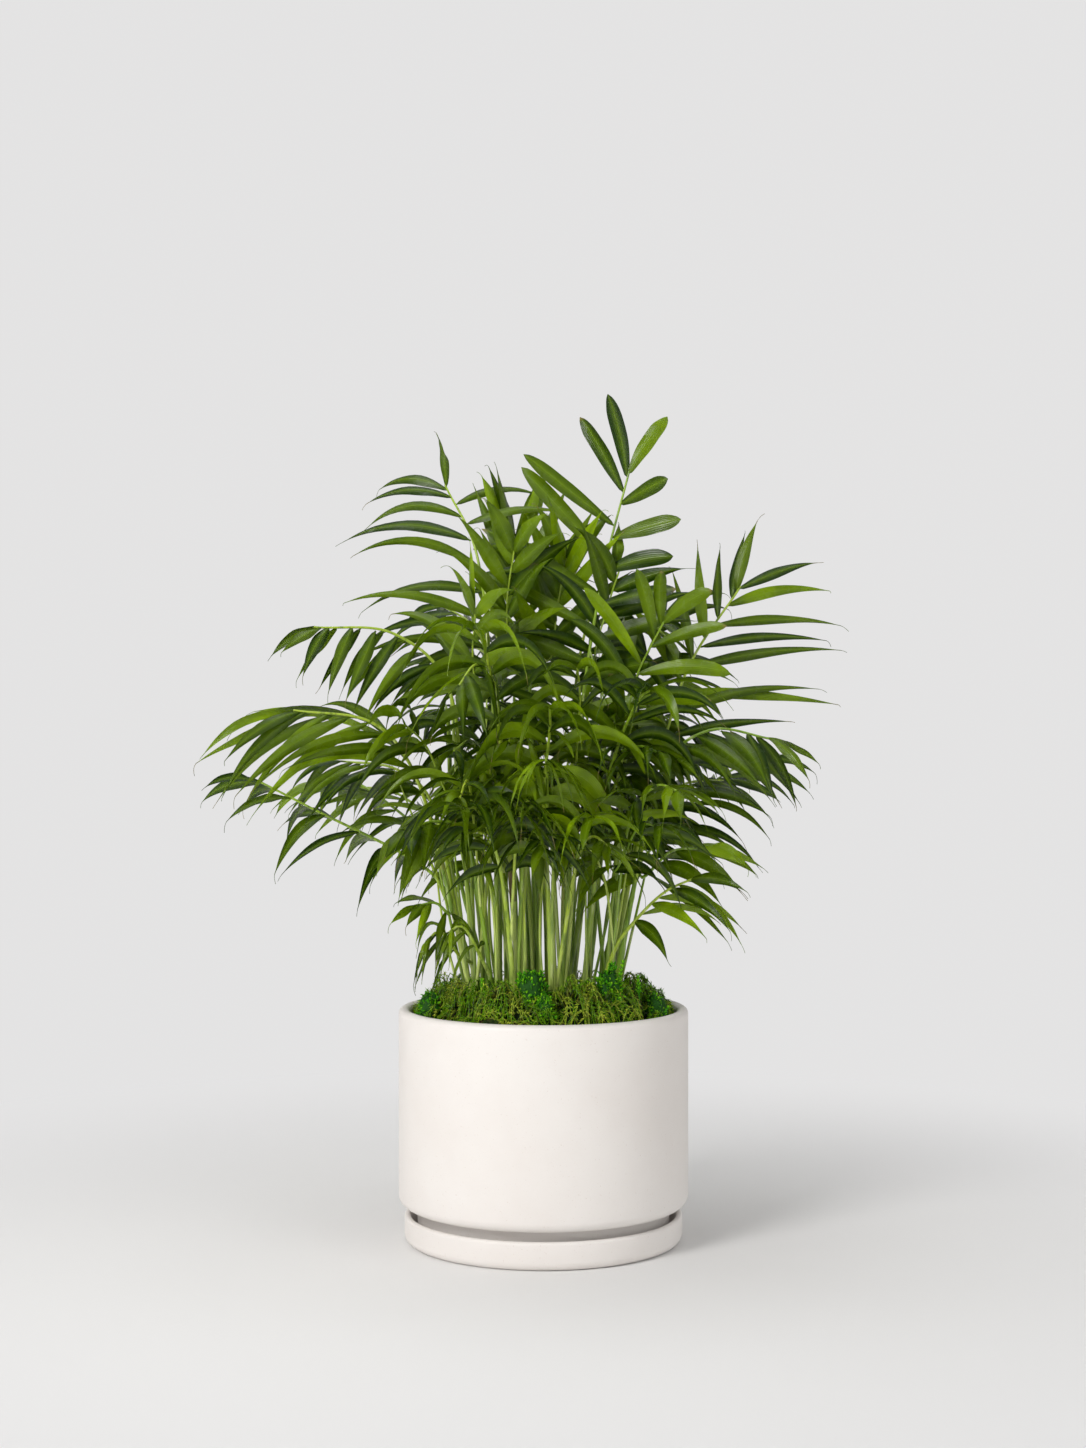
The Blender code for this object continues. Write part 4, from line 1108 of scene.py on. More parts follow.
def draw_back_palm(number, rng):
    """A palm of the far side or the middle: its place, height and reach drawn within limits.

    The higher its frond starts, the less it reaches outward.
    """
    heading = rng.uniform(*BACK_HEADINGS)
    outward = compass(heading)
    foot = outward * FEET_WITHIN * rng.uniform(*FEET_SHARES)
    neck_z = rng.choice(BACK_LEVELS) * rng.uniform(*BACK_LEVEL_DRAWN)
    height_share = (neck_z - BACK_REACH_LOW[0]) / (BACK_REACH_HIGH[0] - BACK_REACH_LOW[0])
    reach = blend(BACK_REACH_LOW[1], BACK_REACH_HIGH[1], height_share) * rng.uniform(*BACK_REACH_DRAWN)
    neck = foot + outward * BACK_NECK_REACH * reach + Vector((0, 0, neck_z))
    bow = foot + outward * reach + Vector((0, 0, neck_z + rng.uniform(*BACK_BOW_RISE)))
    tip = bow + outward * rng.uniform(*BACK_TIP_REACH) + Vector((0, 0, rng.uniform(*BACK_TIP_RISE)))
    frond = Frond(
        tuple(neck), tuple(bow), tuple(tip), heading + 90 + rng.uniform(-BACK_SPREAD, BACK_SPREAD),
        BACK_PAIRS, rng.uniform(*BACK_LENGTH), rng.uniform(*BACK_WIDTH), BACK_LIFT,
        rng.uniform(*BACK_DROOP),
    )
    return Palm(f"palm_back_{number:02d}", (foot.x, foot.y), frond)


def all_palms(thicket):
    """The front palms and the ones drawn by rule, their stems clear of each other and in the thicket."""
    palms = list(FRONT_PALMS)
    for palm in palms:
        for stem in stems_of(palm):
            thicket.add(palm.name, stem.mesh())
    rng = random.Random(BACK_SEED)
    while len(palms) < len(FRONT_PALMS) + BACK_COUNT:
        palm = draw_back_palm(len(palms) - len(FRONT_PALMS) + 1, rng)
        stem = stems_of(palm)[0]
        apart = min(math.dist(palm.foot, other.foot) for other in palms)
        if apart < FEET_APART or thicket.crosses_others(palm.name, swollen(stem.mesh(), STEM_GAP)):
            continue
        thicket.add(palm.name, stem.mesh())
        palms.append(palm)
    return palms


def bent_clear(name, thicket, leaflets):
    """The first of the leaflets that crosses nothing, or else the first that crosses only its siblings."""
    spare = None
    for leaf in leaflets:
        if thicket.crosses_others(name, blade(leaf, CLEAR_GAP)):
            continue
        if not thicket.crosses_siblings(name, blade(leaf, start=FREE_FROM)):
            return leaf
        spare = spare or leaf
    return spare


def grow_frond(palm, stem, rng, thicket):
    """A frond's leaflets, each bent clear of what the thicket holds, or left out where it can't be."""
    grown = []
    for t, side, last in leaflet_places(stem.frond.pairs):
        draw = [rng.uniform(-1, 1) for _ in range(6)]
        tries = (make_leaflet(stem, t, side, last, draw, way) for way in WAYS_ASIDE)
        leaf = bent_clear(palm.name, thicket, tries)
        if leaf:
            grown.append(leaf)
            thicket.add(palm.name, blade(leaf), "leaflet")
    return grown


def grow_leaflets(palm, thicket, seed):
    """The leaflets of all the fronds that a palm's solid has."""
    rng = random.Random(seed)
    return [leaf for stem in stems_of(palm) for leaf in grow_frond(palm, stem, rng, thicket)]


def roomy(place):
    """Whether a side frond may end here: near the middle when low, further out when high."""
    share = ease(place.z, *SIDE_LEVELS)
    low, high = (blend(a, b, share) for a, b in zip(*SIDE_WITHIN))
    return low < place.x < high and place.z > SIDE_LEVELS[0] - SIDE_BELOW


def draw_side_stem(palm, rng):
    """A smaller frond of the same palm: it rises beside the cane, bows outward and droops."""
    main = stems_of(palm)[0]
    if rng.random() < SIDE_FROM_FOOT:
        start, _, radius = main.at(SIDE_FOOT_AT)
        rise = rng.uniform(*SIDE_RISE) + SIDE_FOOT_RISE
    else:
        start, _, radius = main.at(rng.uniform(*SIDE_FORK) * main.neck_at)
        rise = rng.uniform(*SIDE_RISE)
    outward = math.degrees(math.atan2(palm.foot[1] - SIDE_CENTRE_Y, palm.foot[0]))
    heading = outward + rng.uniform(-SIDE_HEADING, SIDE_HEADING)
    away = compass(heading)
    neck = start + away * rng.uniform(*SIDE_REACH) + Vector((0, 0, rise))
    bow = neck + away * rng.uniform(*SIDE_BOW) + Vector((0, 0, rng.uniform(*SIDE_BOW_RISE)))
    tip = bow + away * rng.uniform(*SIDE_BOW) + Vector((0, 0, rng.uniform(*SIDE_TIP_RISE)))
    frond = Frond(
        tuple(neck), tuple(bow), tuple(tip), heading + rng.choice((-90, 90)), rng.choice(SIDE_PAIRS),
        *(rng.uniform(*limits) for limits in (SIDE_LENGTH, SIDE_WIDTH, SIDE_LIFT, SIDE_DROOP)),
    )
    return Stem(start, frond, fork_from=radius * SIDE_THIN)


def grow_fork(palm, stem, rng, thicket):
    """A further frond: its stem, and its leaflets clear of the rest."""
    thicket.add(palm.name, stem.mesh())
    return stem, grow_frond(palm, stem, rng, thicket)


def grow_side_fronds(palms, thicket):
    """For each palm the further fronds that it carries: each a stem and its leaflets, clear of the rest."""
    rng = random.Random(SIDE_SEED)
    fronds = {palm.name: [] for palm in palms}
    named = {palm.name: palm for palm in palms}
    for name, fork, frond in MORE_FRONDS:
        place, _, radius = stems_of(named[name])[0].at(fork)
        stem = Stem(place, frond, fork_from=radius * SIDE_THIN)
        fronds[name].append(grow_fork(named[name], stem, rng, thicket))
    for k in range(SIDE_FRONDS):
        palm = palms[k % len(palms)]
        for _ in range(SIDE_TRIES):
            stem = draw_side_stem(palm, rng)
            if roomy(stem.points[-1]) and not thicket.crosses_others(palm.name, stem.mesh()):
                fronds[palm.name].append(grow_fork(palm, stem, rng, thicket))
                break
    return fronds


# Fine palms


def fine_width(s, widest, blunt):
    """A leaflet's width: narrow at its root, fullest at its widest place, blunt or drawn to a thread."""
    if s < widest:
        return 0.20 + 0.80 * math.sin(math.pi / 2 * s / widest) ** 0.9
    past = (s - widest) / (1 - widest)
    if blunt:
        return max(1 - past**3.0, 0.0) ** 0.65
    return max(1 - past**1.55, 0.0) ** 1.15


def drawn_out(middle, run, side, curl, sag, step):
    """The leaflet's line with its tip drawn out into a thread that curls aside and sags."""
    for _ in range(WHISKER_STEPS):
        run = np.vstack([run, unit(run[-1] + side * curl / 2 - np.array([0, 0, sag / 2]))])
        middle = np.vstack([middle, middle[-1] + run[-1] * step])
    return middle, run


def leaflet_course(leaf, rng, blunt):
    """A fine leaflet's places along, its line with directions along and across, and half its width."""
    points, runs = leaflet_line(leaf)
    reach = np.arange(LINE_STEPS + 1) / LINE_STEPS
    middle, run = (
        np.stack([np.interp(ALONG, reach, [p[k] for p in line]) for k in range(3)], axis=1)
        for line in (points, runs)
    )
    side = np.array([*leaf.across])
    curl, sag = rng.uniform(-WHISKER_CURL, WHISKER_CURL), rng.uniform(*WHISKER_SAG)
    full = leaf.width / 2 * rng.uniform(*(BLUNT_SLENDER if blunt else SLENDER))
    along = np.array(ALONG)
    if not blunt:
        middle, run = drawn_out(middle, run, side, curl, sag, rng.uniform(*WHISKER) / WHISKER_STEPS)
        along = np.append(along, 1.0 + np.arange(1, WHISKER_STEPS + 1) / 100)
    run = unit(run)
    return along, middle, run, unit(side - run * (run @ side)[:, None]), full


def fine_leaflet(growth, leaf, rng, tone, age, blunt=False):
    """A leaflet as a thin folded shell with wavy margins, drawn out at its tip into a curled thread."""
    along, middle, run, across, full = leaflet_course(leaf, rng, blunt)
    up = np.cross(across, run)
    blade_along = np.minimum(along, 1.0)
    extra = rng.uniform(-EXTRA_TWIST, EXTRA_TWIST) * rng.random()
    turn = np.radians(leaf.twist + extra) * blade_along[:, None]
    across, up = across * np.cos(turn) - up * np.sin(turn), up * np.cos(turn) + across * np.sin(turn)
    sway = rng.uniform(-SWAY, SWAY) * leaf.length
    middle = middle + across * (sway * np.sin(np.pi * blade_along))[:, None]
    widest = BLUNT_WIDEST if blunt else leaf.widest
    width = np.array([fine_width(s, widest, blunt) for s in blade_along])
    half = np.maximum(full * width, THREAD_HALF * np.where(along > 1.0, THREAD_THIN, 1.0))
    half[:2] = leaf.root_width * np.array(ROOT_SHARES)
    ridge = rng.uniform(*RIDGE) * np.minimum(half / full * RIDGE_FULL, 1.0)
    ripple = rng.uniform(*RIPPLE) * np.minimum(half / full, 1.0)
    wave = rng.uniform(*RIPPLE_WAVES) * along + rng.uniform(*ANY_PHASE)
    skew = SKEW * np.maximum(along - SKEW_FROM, 0.0) / (1 - SKEW_FROM)
    places = [(u, True) for u in ACROSS] + [(u, False) for u in ACROSS[-2:0:-1]]
    rings = []
    for u, is_upper in places:
        out = abs(u)
        rise = ridge * (1 - out**RIDGE_SHARP)
        rise = rise + ripple * out**2 * np.sin(wave + (RIPPLE_APART if u > 0 else 0.0))
        if not is_upper:
            thick = np.minimum(SHELL_THICK * blend(1.0, MARGIN_THICK, out), half)
            rise = rise - thick * (KEEL_THICK if u == 0 else 1.0)
        askew = 1.0 - (skew if blunt and u < 0 else 0.0)
        rings.append(middle + across * (half * askew * u)[:, None] + up * rise[:, None])
    marks_across = np.array([u for u, _ in places])[None, :]
    growth.rings(np.stack(rings, axis=1), marks_across, blade_along[:, None], tone, age)


def stem_frame(stem, points):
    """For each point of a stem: its run, and two level and upright directions across it."""
    line = np.array([[*p] for p in points])
    run = unit(np.gradient(line, axis=0))
    toward = np.array([*compass(stem.frond.spread)])
    right = unit(toward - run * (run @ toward)[:, None])
    return line, right, np.cross(run, right)


def tube(growth, line, right, up, radii, along, tone, worn):
    """A round tube of stem along a line, its sides numbered round the run."""
    around = np.arange(STEM_SIDES) * 2 * math.pi / STEM_SIDES
    spokes = right[:, None] * np.cos(around)[None, :, None] + up[:, None] * np.sin(around)[None, :, None]
    rings = line[:, None] + spokes * np.asarray(radii)[:, None, None]
    growth.rings(rings, (around / (2 * math.pi))[None, :], along[:, None], tone, worn[:, None], 1)


def fine_stem(growth, stem, rng, tone):
    """A cane that runs on as petiole and rib: jointed and sheathed below, smooth above."""
    line = list(stem.line)
    if stem.buried:
        line.insert(0, line[0] - Vector((0, 0, START_RISE + BURIED)))
    total = lengths_along(line)[-1]
    points = evenly(line, max(int(total / RING_STEP), LEAST_RINGS))
    line, right, up = stem_frame(stem, points)
    along = np.linspace(0, 1, len(points))
    usual = (CANE_RADIUS * SLIM, PETIOLE_RADIUS, RIB_RADIUS, RIB_TIP_RADIUS * TIP_SLIM)
    radii = np.minimum(np.interp(along, stem.stations, usual), stem.radii[0])
    worn = np.zeros(len(points))
    if stem.buried:
        radii, worn = with_joints(along * total, total * stem.neck_at * JOINTED, radii, worn, rng)
    tube(growth, line, right, up, radii, along, tone, worn)


def with_joints(reach, end, radii, worn, rng):
    """A cane's radii and wear with its joints and a few old sheaths, up to the end of its jointed part."""
    joint = rng.uniform(*JOINT_FIRST)
    while joint < end:
        swell = np.exp(-((np.abs(reach - joint) / JOINT_REACH) ** 2))
        radii = radii * (1 + JOINT_SWELL * swell)
        worn = np.maximum(worn, JOINT_WORN * swell)
        if rng.random() < SHEATH_CHANCE:
            inside = (reach > joint) & (reach < joint + rng.uniform(*SHEATH_LENGTH))
            radii = np.where(inside, radii + SHEATH_RISE, radii)
            worn = np.where(inside, rng.uniform(0.5, 1.0), worn)
        joint += rng.uniform(*JOINT_EVERY)
    return radii, worn


def fine_spear(growth, stem, rng, tone):
    """An unopened leaf: a slender point that leaves the cane beside its petiole."""
    place, run, _ = stem.at(stem.neck_at * rng.uniform(*SPEAR_FROM))
    lean = any_way(rng) * rng.uniform(*SPEAR_LEAN)
    length = rng.uniform(*SPEAR_LENGTH)
    step = (run + lean).normalized() * length / SPEAR_STEPS + Vector((0, 0, SPEAR_LIFT * length))
    line, right, up = stem_frame(stem, [place + step * k for k in range(SPEAR_STEPS + 1)])
    along = np.linspace(0, 1, SPEAR_STEPS + 1)
    radii = SPEAR_RADIUS * np.minimum(1.0, 1.25 * (1 - along) ** 0.7 + 0.05)
    tube(growth, line, right, up, radii, 0.5 + along / 2, tone, np.zeros(SPEAR_STEPS + 1))


def fine_shoot(growth, palm, rng, tone):
    """A thin leaf stalk that rises from the palm's foot into the leaves."""
    turn = any_way(rng)
    outward = Vector((palm.foot[0], palm.foot[1], 0)) * rng.uniform(*SHOOT_SPREAD)
    start = on_soil(palm.foot) + turn * SHOOT_APART
    top = start + outward + turn * rng.uniform(*SHOOT_SIDE) + Vector((0, 0, rng.uniform(*SHOOT_RISE)))
    side = any_way(rng) * rng.uniform(*SHOOT_BOW)
    along = np.linspace(0, 1, SHOOT_STEPS + 1)
    line = np.array([[*(blend(start, top, share) + side * math.sin(math.pi * share))] for share in along])
    run = unit(np.gradient(line, axis=0))
    right = unit(np.cross(run, np.array([0.0, 1.0, 0.0])))
    radii = rng.uniform(*SHOOT_RADIUS) * (1 - SHOOT_TAPER * along)
    tube(growth, line, right, np.cross(run, right), radii, along * 0.5, tone, np.zeros(SHOOT_STEPS + 1))


def make_fine_palm(number, palm, leaflets, side_fronds, finishes):
    rng = random.Random(FINE_SEED + number)
    palm_tone = PALM_TONES_AND_PAINTED_LIGHT.get(palm.name, rng.uniform(*TONES))
    growth = Growth()
    stems = stems_of(palm)
    for stem in stems + [stem for stem, _ in side_fronds]:
        fine_stem(growth, stem, rng, rng.uniform(0, 1))
    for _ in range(SHOOTS):
        fine_shoot(growth, palm, rng, rng.uniform(0, 1))
    if number % 2:
        fine_spear(growth, stems[0], rng, SPEAR_TONE)
    for leaf in leaflets + [leaf for _, more in side_fronds for leaf in more]:
        # Painted shade: leaves towards the back are given a darker tone
        shade = BACK_PAINTED_SHADE * ease(leaf.root.y, *BACK_PAINTED_SHADE_FROM)
        tone = held(palm_tone - shade + rng.uniform(-TONE_PLAY, TONE_PLAY))
        fine_leaflet(growth, leaf, rng, tone, rng.random(), palm.name in BLUNT)
    piece = growth.piece(palm.name.replace("palm", "fine_palm"), finishes, sharp=CREASE)
    return settle(piece, "palm", palm.name)


# Moss


def moss_top(r, angle):
    """The moss's upper side, higher towards the stems, with lumps raised by a formula."""
    share = (MOSS_OUTER - r) / (MOSS_OUTER - MOSS_INNER)
    lumps = math.sin(7 * angle + 9 * share) + 0.7 * math.sin(12 * angle - 7 * share + 1.0)
    edge = math.sin(math.pi * held(share)) ** 0.35
    return SHOULDER_Z + (blend(MOSS_LOW, MOSS_HIGH, share) + MOSS_BUMP * lumps) * max(edge, MOSS_EDGE)


Clump = namedtuple("Clump", "x y radius rise kind swirl")


def draw_clumps():
    """Rounded clumps of moss in rows round the stems, each with its own colour and comb."""
    rng = random.Random(CLUMP_SEED)
    clumps = []
    for radius, count in CLUMP_ROWS:
        for k in range(count):
            angle = 2 * math.pi * (k + rng.uniform(-CLUMP_STAGGER, CLUMP_STAGGER)) / count
            r = radius + rng.uniform(*CLUMP_DRIFT)
            front = ease(-math.sin(angle), *FRONT_SHARE)
            clumps.append(Clump(
                r * math.cos(angle), r * math.sin(angle), rng.uniform(*CLUMP_RADIUS),
                rng.uniform(*CLUMP_RISE) * blend(0.0, FRONT_RISE, front), rng.random(),
                rng.uniform(-CLUMP_SWIRL, CLUMP_SWIRL),
            ))
    return clumps + [Clump(*laid) for laid in LAID_CLUMPS]


def moss_height(x, y, clumps):
    """The height of the moss at a place: its mat with the clumps that swell it, or the soil's cone."""
    r, angle = math.hypot(x, y), math.atan2(y, x)
    if r < MOSS_INNER:
        inner = soil_height(r) + CONE_COVER
        return blend(inner, moss_top(MOSS_INNER + CREST_IN, angle), ease(r, CONE_EDGE, MOSS_INNER))
    swell = 0.0
    for clump in clumps:
        near = 1 - ((x - clump.x) ** 2 + (y - clump.y) ** 2) / clump.radius**2
        if near > 0:
            swell = max(swell, clump.rise * near**0.5)
    return moss_top(min(r, MOSS_OUTER), angle) + swell


def make_mat(clumps, finish):
    """The mat below the sprays: a ring with a lumpy top, round the soil's cone."""
    growth = Growth()
    radii = [blend(MOSS_INNER - MAT_INSET, MOSS_OUTER, k / MAT_ROWS) for k in range(MAT_ROWS + 1)]
    rings = []
    for k in range(MAT_TURNS + 1):
        angle = -2 * math.pi * k / MAT_TURNS
        top = []
        for r in radii:
            x, y = r * math.cos(angle), r * math.sin(angle)
            crumb = MAT_CRUMB * noise.noise((x * MAT_GRAIN, y * MAT_GRAIN, 0.0))
            top.append((x, y, moss_height(x, y, clumps) + crumb - MAT_BELOW))
        for r in (radii[-1], radii[0]):
            top.append((r * math.cos(angle), r * math.sin(angle), SHOULDER_Z + REST_GAP))
        rings.append(top)
    growth.rings(np.array(rings), 0.0, 0.0, 0.5, 0.0)
    return settle(growth.piece("moss_mat", [finish]), "moss", "moss")


def spray_line(clump, phase, start, length, rng, clumps):
    """The line of one spray of moss: outward and down over its clump, combed into a curve."""
    line = []
    lift = rng.uniform(*SPRAY_LIFT)
    for k in range(SPRAY_STEPS):
        share = k / (SPRAY_STEPS - 1)
        out = start + length * share
        angle = phase + clump.swirl * share
        x, y = clump.x + out * math.cos(angle), clump.y + out * math.sin(angle)
        r = math.hypot(x, y)
        if r > MOSS_OUTER - WALL_PLAY:
            x, y = x * (MOSS_OUTER - WALL_PLAY) / r, y * (MOSS_OUTER - WALL_PLAY) / r
        z = moss_height(x, y, clumps) + lift * (0.4 + 1.6 * math.sin(math.pi * share))
        line.append((x, y, z))
    return np.array(line)


def spray(growth, line, rng, tone, age, size=1.0):
    """One feathery spray: a thin stalk with small pointed leaves in two combed rows and at its end."""
    run = unit(np.gradient(line, axis=0))
    across = unit(np.cross(run, np.array([0.0, 0.0, 1.0])))
    up = np.cross(across, run)
    along = np.linspace(0, 1, len(line))
    spokes = np.stack([across, -0.5 * across - 0.87 * up, -0.5 * across + 0.87 * up], axis=1)
    thin = (STALK_RADIUS * (1 - STALK_TAPER * along))[:, None, None]
    growth.rings(line[:, None] + spokes * thin, 0.0, along[:, None] * 0.5, tone, age)
    length = rng.uniform(*SPRAY_LEAF) * size * (1 - 0.55 * along[1:] ** 2)
    leaf = {"thick": SPRAY_LEAF_THICK, "tone": tone, "age": age}
    rise = rng.uniform(*SPRAY_LEAF_RISE)
    for side in (1, -1):
        out = run[1:] * 0.80 + across[1:] * side * 0.55 + up[1:] * rise
        tips = line[1:] + out * length[:, None]
        growth.spikes(line[1:], tips, run[1:], SPRAY_LEAF_WIDTH * size / 2, along=along[1:], **leaf)
    end = line[-1:]
    growth.spikes(end, end + run[-1:] * length[-1], across[-1:], SPRAY_LEAF_WIDTH / 2, along=0.8, **leaf)


def make_sprays(clumps, finish):
    """The feathery moss over the mat, front and back, and the thinner growth between the stems."""
    rng = random.Random(CLUMP_SEED + 1)
    growths = {"front": Growth(), "back": Growth(), "middle": Growth()}
    for clump in clumps:
        growth = growths["front" if clump.y < 0 else "back"]
        for k in range(SPRAYS_A_CLUMP):
            phase = 2 * math.pi * (k * SPRAY_TURN + rng.uniform(-SPRAY_TURN_PLAY, SPRAY_TURN_PLAY))
            start = clump.radius * rng.uniform(*SPRAY_START)
            length = clump.radius * rng.uniform(*SPRAY_LENGTH)
            line = spray_line(clump, phase, start, length, rng, clumps)
            tone = held(clump.kind + rng.uniform(-SPRAY_TONE_PLAY, SPRAY_TONE_PLAY))
            spray(growth, line, rng, tone, rng.random() * blend(1.0, 0.86, clump.kind))
    for _ in range(CONE_SPRAYS):
        angle = rng.uniform(0, 2 * math.pi)
        r = DOME_RADIUS * CONE_REACH * math.sqrt(rng.random())
        swirl = rng.uniform(-CONE_SWIRL, CONE_SWIRL)
        place = Clump(r * math.cos(angle), r * math.sin(angle), 0.0, 0.0, 0.0, swirl)
        line = spray_line(place, rng.uniform(*ANY_PHASE), 0.0, rng.uniform(*CONE_LENGTH), rng, clumps)
        spray(growths["middle"], line, rng, rng.uniform(*CONE_TONES), rng.random(), CONE_LEAF)
    for name, growth in growths.items():
        settle(growth.piece(f"moss_sprays_{name}", [finish]), "moss")


def cushion(growth, tuft, seat, leaves, rng):
    """A curly cushion of bright moss: a dome with deep lumps, covered with small cupped leaves; the dome
    takes a dark colour as painted shade between the leaves.
    """
    below = tuft.radius * CUSHION_LOW
    centre = np.array([*tuft.place, seat + below])
    high = tuft.top + CUSHION_OVER - seat - below
    shift = rng.uniform(0, 50)

    def surface(turn, tilt, swell=0.0):
        level, rise = math.cos(tilt), math.sin(tilt)
        spot = Vector((math.cos(turn) * level, math.sin(turn) * level, rise)) * CUSHION_GRAIN
        lump = CUSHION_LUMPS[0] + CUSHION_LUMPS[1] * noise.noise(spot + Vector((shift, 0, 0)))
        wide = (tuft.radius * lump + swell) * level
        tall = (high if tilt > 0 else below) * lump + swell
        return centre + np.array([wide * math.cos(turn), wide * math.sin(turn), tall * rise])

    turns = [2 * math.pi * k / CUSHION_SIDES for k in range(CUSHION_SIDES)]
    tilts = [blend(*CUSHION_TILTS, row / (CUSHION_ROWS - 1)) for row in range(CUSHION_ROWS)]
    rings = [[surface(turn, tilt) for turn in turns] for tilt in tilts]
    # The dome is coloured near the darkest moss colour: painted shade seen between the leaves
    growth.rings(np.array(rings), 0.0, 0.10, 0.0, 0.0)
    outward, astray = CUSHION_LEAF_TURN
    for _ in range(leaves):
        turn, tilt = rng.uniform(0, 2 * math.pi), math.asin(rng.uniform(CUSHION_LEAVES_FROM, 1.0))
        root = surface(turn, tilt)
        out = unit(surface(turn, tilt, 1.0) - root)
        heading = unit(out * outward + astray * np.array([rng.uniform(-1, 1) for _ in range(3)]))
        across = unit(np.cross(heading, out), 1e-6)
        size = rng.uniform(*CUSHION_LEAF), CUSHION_LEAF_WIDTH
        cupped_leaf(growth, root - out * CUSHION_LEAF_ROOT, heading, across, size, rng.random())


def make_tuft(tuft, number, finishes):
    """A tuft of the mat's bright moss in place of its solid."""
    rng = random.Random(CLUMP_SEED + 10 + number)
    growth = Growth()
    cushion(growth, tuft, TUFT_SEAT + REST_GAP, TUFT_LEAVES, rng)
    settle(growth.piece(tuft.name.replace("moss", "fine"), finishes), "bright_moss", tuft.name)


def make_lumps(finishes):
    """Smaller cushions of the same bright moss, low in the mat."""
    rng = random.Random(CLUMP_SEED + 40)
    growth = Growth()
    for lump in LUMPS:
        cushion(growth, lump, lump.top - LUMP_SEAT * lump.radius, LUMP_LEAVES, rng)
    settle(growth.piece("moss_lumps", finishes), "bright_moss")


def cupped_leaf(growth, root, heading, across, size, tone):
    """A small rounded leaf of a length and width, hollowed like a spoon, as a thin shell."""
    length, width = size
    up = np.cross(across, heading)
    rings = []
    for s, share in CUPPED_RINGS:
        middle = root + heading * length * s + up * length * CUPPED_BEND * s * s
        half = width / 2 * share
        hollow = CUPPED_HOLLOW * half
        rings.append([
            middle - across * half + up * hollow, middle, middle + across * half + up * hollow,
            middle - up * CUPPED_THICK,
        ])
    growth.rings(np.array(rings), 0.0, np.array(CUPPED_GROWTH_AND_PAINTED_LIGHT)[:, None], tone, 0.0)


def make_sprigs(finish):
    """Upright sprigs that stand out of the moss, their leaves in whorls."""
    rng = random.Random(CLUMP_SEED + 30)
    growth = Growth()
    for x, y, z, height in SPRIGS:
        lean = np.array([*(rng.uniform(*limits) for limits in SPRIG_LEAN), 1.0]) * height
        line = np.array([[x, y, z] + lean * k / SPRIG_STEPS for k in range(SPRIG_STEPS + 1)])
        spokes = np.array([[math.cos(a), math.sin(a), 0.0] for a in (0.0, 2.09, 4.19)])
        growth.rings(line[:, None] + spokes[None] * SPRIG_RADIUS, 0.0, 0.4, 0.4, 0.0)
        for k in range(2, SPRIG_STEPS + 1):
            for leaf in range(SPRIG_WHORL):
                angle = 2 * math.pi * (leaf + 0.5 * (k % 2)) / SPRIG_WHORL + rng.uniform(-0.2, 0.2)
                heading = unit(np.array([math.cos(angle), math.sin(angle), 0.35 + 0.18 * k]))
                across = unit(np.cross(heading, np.array([0, 0, 1.0])))
                cupped_leaf(growth, line[k], heading, across, SPRIG_LEAF, rng.uniform(*SPRIG_TONES))
    settle(growth.piece("moss_sprigs", [finish]), "bright_moss")


# Studio


def make_stage():
    """A pale floor that sweeps up into a pale wall on all sides and glows as a light tent does."""
    profile = [(0.0, 0.0), (0.3, 0.0), (0.8, 0.0)]
    profile += arc((STAGE_RADIUS - STAGE_ROUND, STAGE_ROUND), STAGE_ROUND, -90, 0, 24)
    profile += [(STAGE_RADIUS, STAGE_HEIGHT)]
    finish = Finish("pale stage")
    finish.surface(base_color=STAGE_TINT, roughness=0.8, specular_ior_level=0.2)
    where = finish.node("ShaderNodeTexCoord").outputs["Object"]
    away = finish.node("ShaderNodeVectorMath", (where,), operation="LENGTH").outputs["Value"]
    seen = finish.node("ShaderNodeLightPath").outputs["Is Camera Ray"]
    glow = finish.node("ShaderNodeEmission", {"Color": STAGE_GLOW, "Strength": 1.0})
    share = finish.math("MULTIPLY", finish.ramp(away, *STAGE_GLOW_FROM), seen)
    shown = finish.node("ShaderNodeMixShader", (share, finish.shader.outputs[0], glow.outputs[0]))
    finish.feed(finish.out.inputs["Surface"], shown.outputs[0])
    turned("studio_floor", profile, False, finish.material)


def add_light(name, place, target, size, energy, colour):
    """A round soft light that shines from its place towards its target."""
    data = bpy.data.lights.new(name, "AREA")
    data.shape = "DISK"
    data.size = size
    data.energy = energy
    data.color = colour
    light = placed(name, data)
    light.location = place
    light.rotation_euler = (Vector(target) - Vector(place)).to_track_quat("-Z", "Y").to_euler()
    light.visible_camera = False


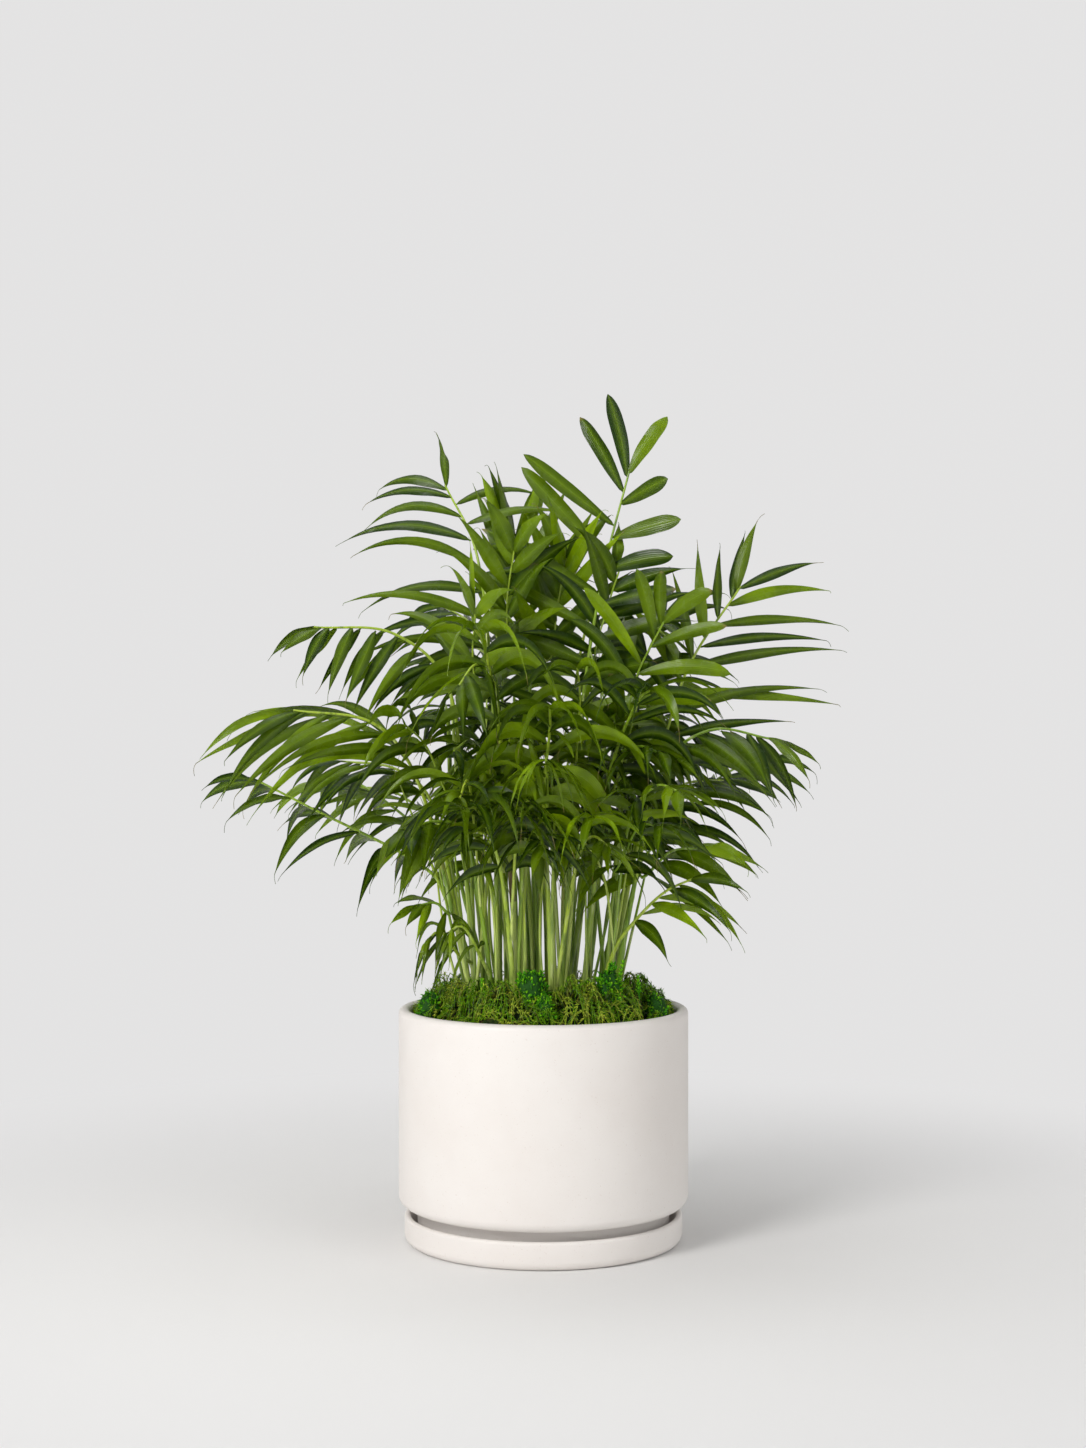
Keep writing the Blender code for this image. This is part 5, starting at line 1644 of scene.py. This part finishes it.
def make_studio():
    """The stage, the lights and the air between them, and the camera at the photo's angle."""
    make_stage()
    for light in LIGHTS:
        add_light(*light)
    world = bpy.data.worlds.new("studio air")
    world.use_nodes = True
    air = world.node_tree.nodes["Background"].inputs
    air["Color"].default_value = (1.0, 1.0, 1.0, 1.0)
    air["Strength"].default_value = AIR
    bpy.context.scene.world = world
    bpy.context.scene.view_settings.view_transform = "Standard"
    lens = bpy.data.cameras.new("camera")
    lens.sensor_fit = "VERTICAL"
    lens.sensor_height = SENSOR
    lens.lens = LENS
    lens.shift_x = SHIFT_X
    camera = placed("camera", lens)
    camera.location = EYE
    camera.rotation_euler = (math.pi / 2, 0.0, 0.0)
    bpy.context.scene.camera = camera


def dress(frame):
    """Dresses the frame: pot and saucer, soil, palms and moss."""
    ceramic = ceramic_finish()
    settle(make_pot(ceramic), "ceramic", "pot")
    settle(make_saucer(ceramic), "ceramic", "saucer")
    soil = frame["nodes"]["soil"]
    soil.data.materials.clear()
    soil.data.materials.append(soil_finish())
    thicket = Thicket()
    palms = all_palms(thicket)
    for name in ("pot", "moss", *(tuft.name for tuft in TUFTS)):
        bm = bmesh.new()
        bm.from_mesh(frame["nodes"][name].data)
        thicket.add(name, bm)
    grown = [grow_leaflets(palm, thicket, seed) for seed, palm in enumerate(palms, LEAFLET_SEED)]
    finishes = [leaf_finish(), stem_finish()]
    side_fronds = grow_side_fronds(palms, thicket)
    for number, (palm, leaflets) in enumerate(zip(palms, grown)):
        make_fine_palm(number, palm, leaflets, side_fronds[palm.name], finishes)
    clumps = draw_clumps()
    make_mat(clumps, underlay_finish())
    make_sprays(clumps, moss_finish("feather moss", *FEATHER_MOSS))
    bright = moss_finish("cushion moss", *CUSHION_MOSS)
    for number, tuft in enumerate(TUFTS):
        make_tuft(tuft, number, [bright])
    make_lumps([bright])
    make_sprigs(bright)


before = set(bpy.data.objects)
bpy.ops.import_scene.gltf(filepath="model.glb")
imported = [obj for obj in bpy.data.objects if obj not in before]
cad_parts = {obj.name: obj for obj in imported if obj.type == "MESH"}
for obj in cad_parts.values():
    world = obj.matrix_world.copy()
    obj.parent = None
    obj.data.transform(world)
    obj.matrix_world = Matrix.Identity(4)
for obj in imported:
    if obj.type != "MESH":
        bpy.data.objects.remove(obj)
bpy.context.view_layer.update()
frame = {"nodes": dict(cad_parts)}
dress(frame)
make_studio()
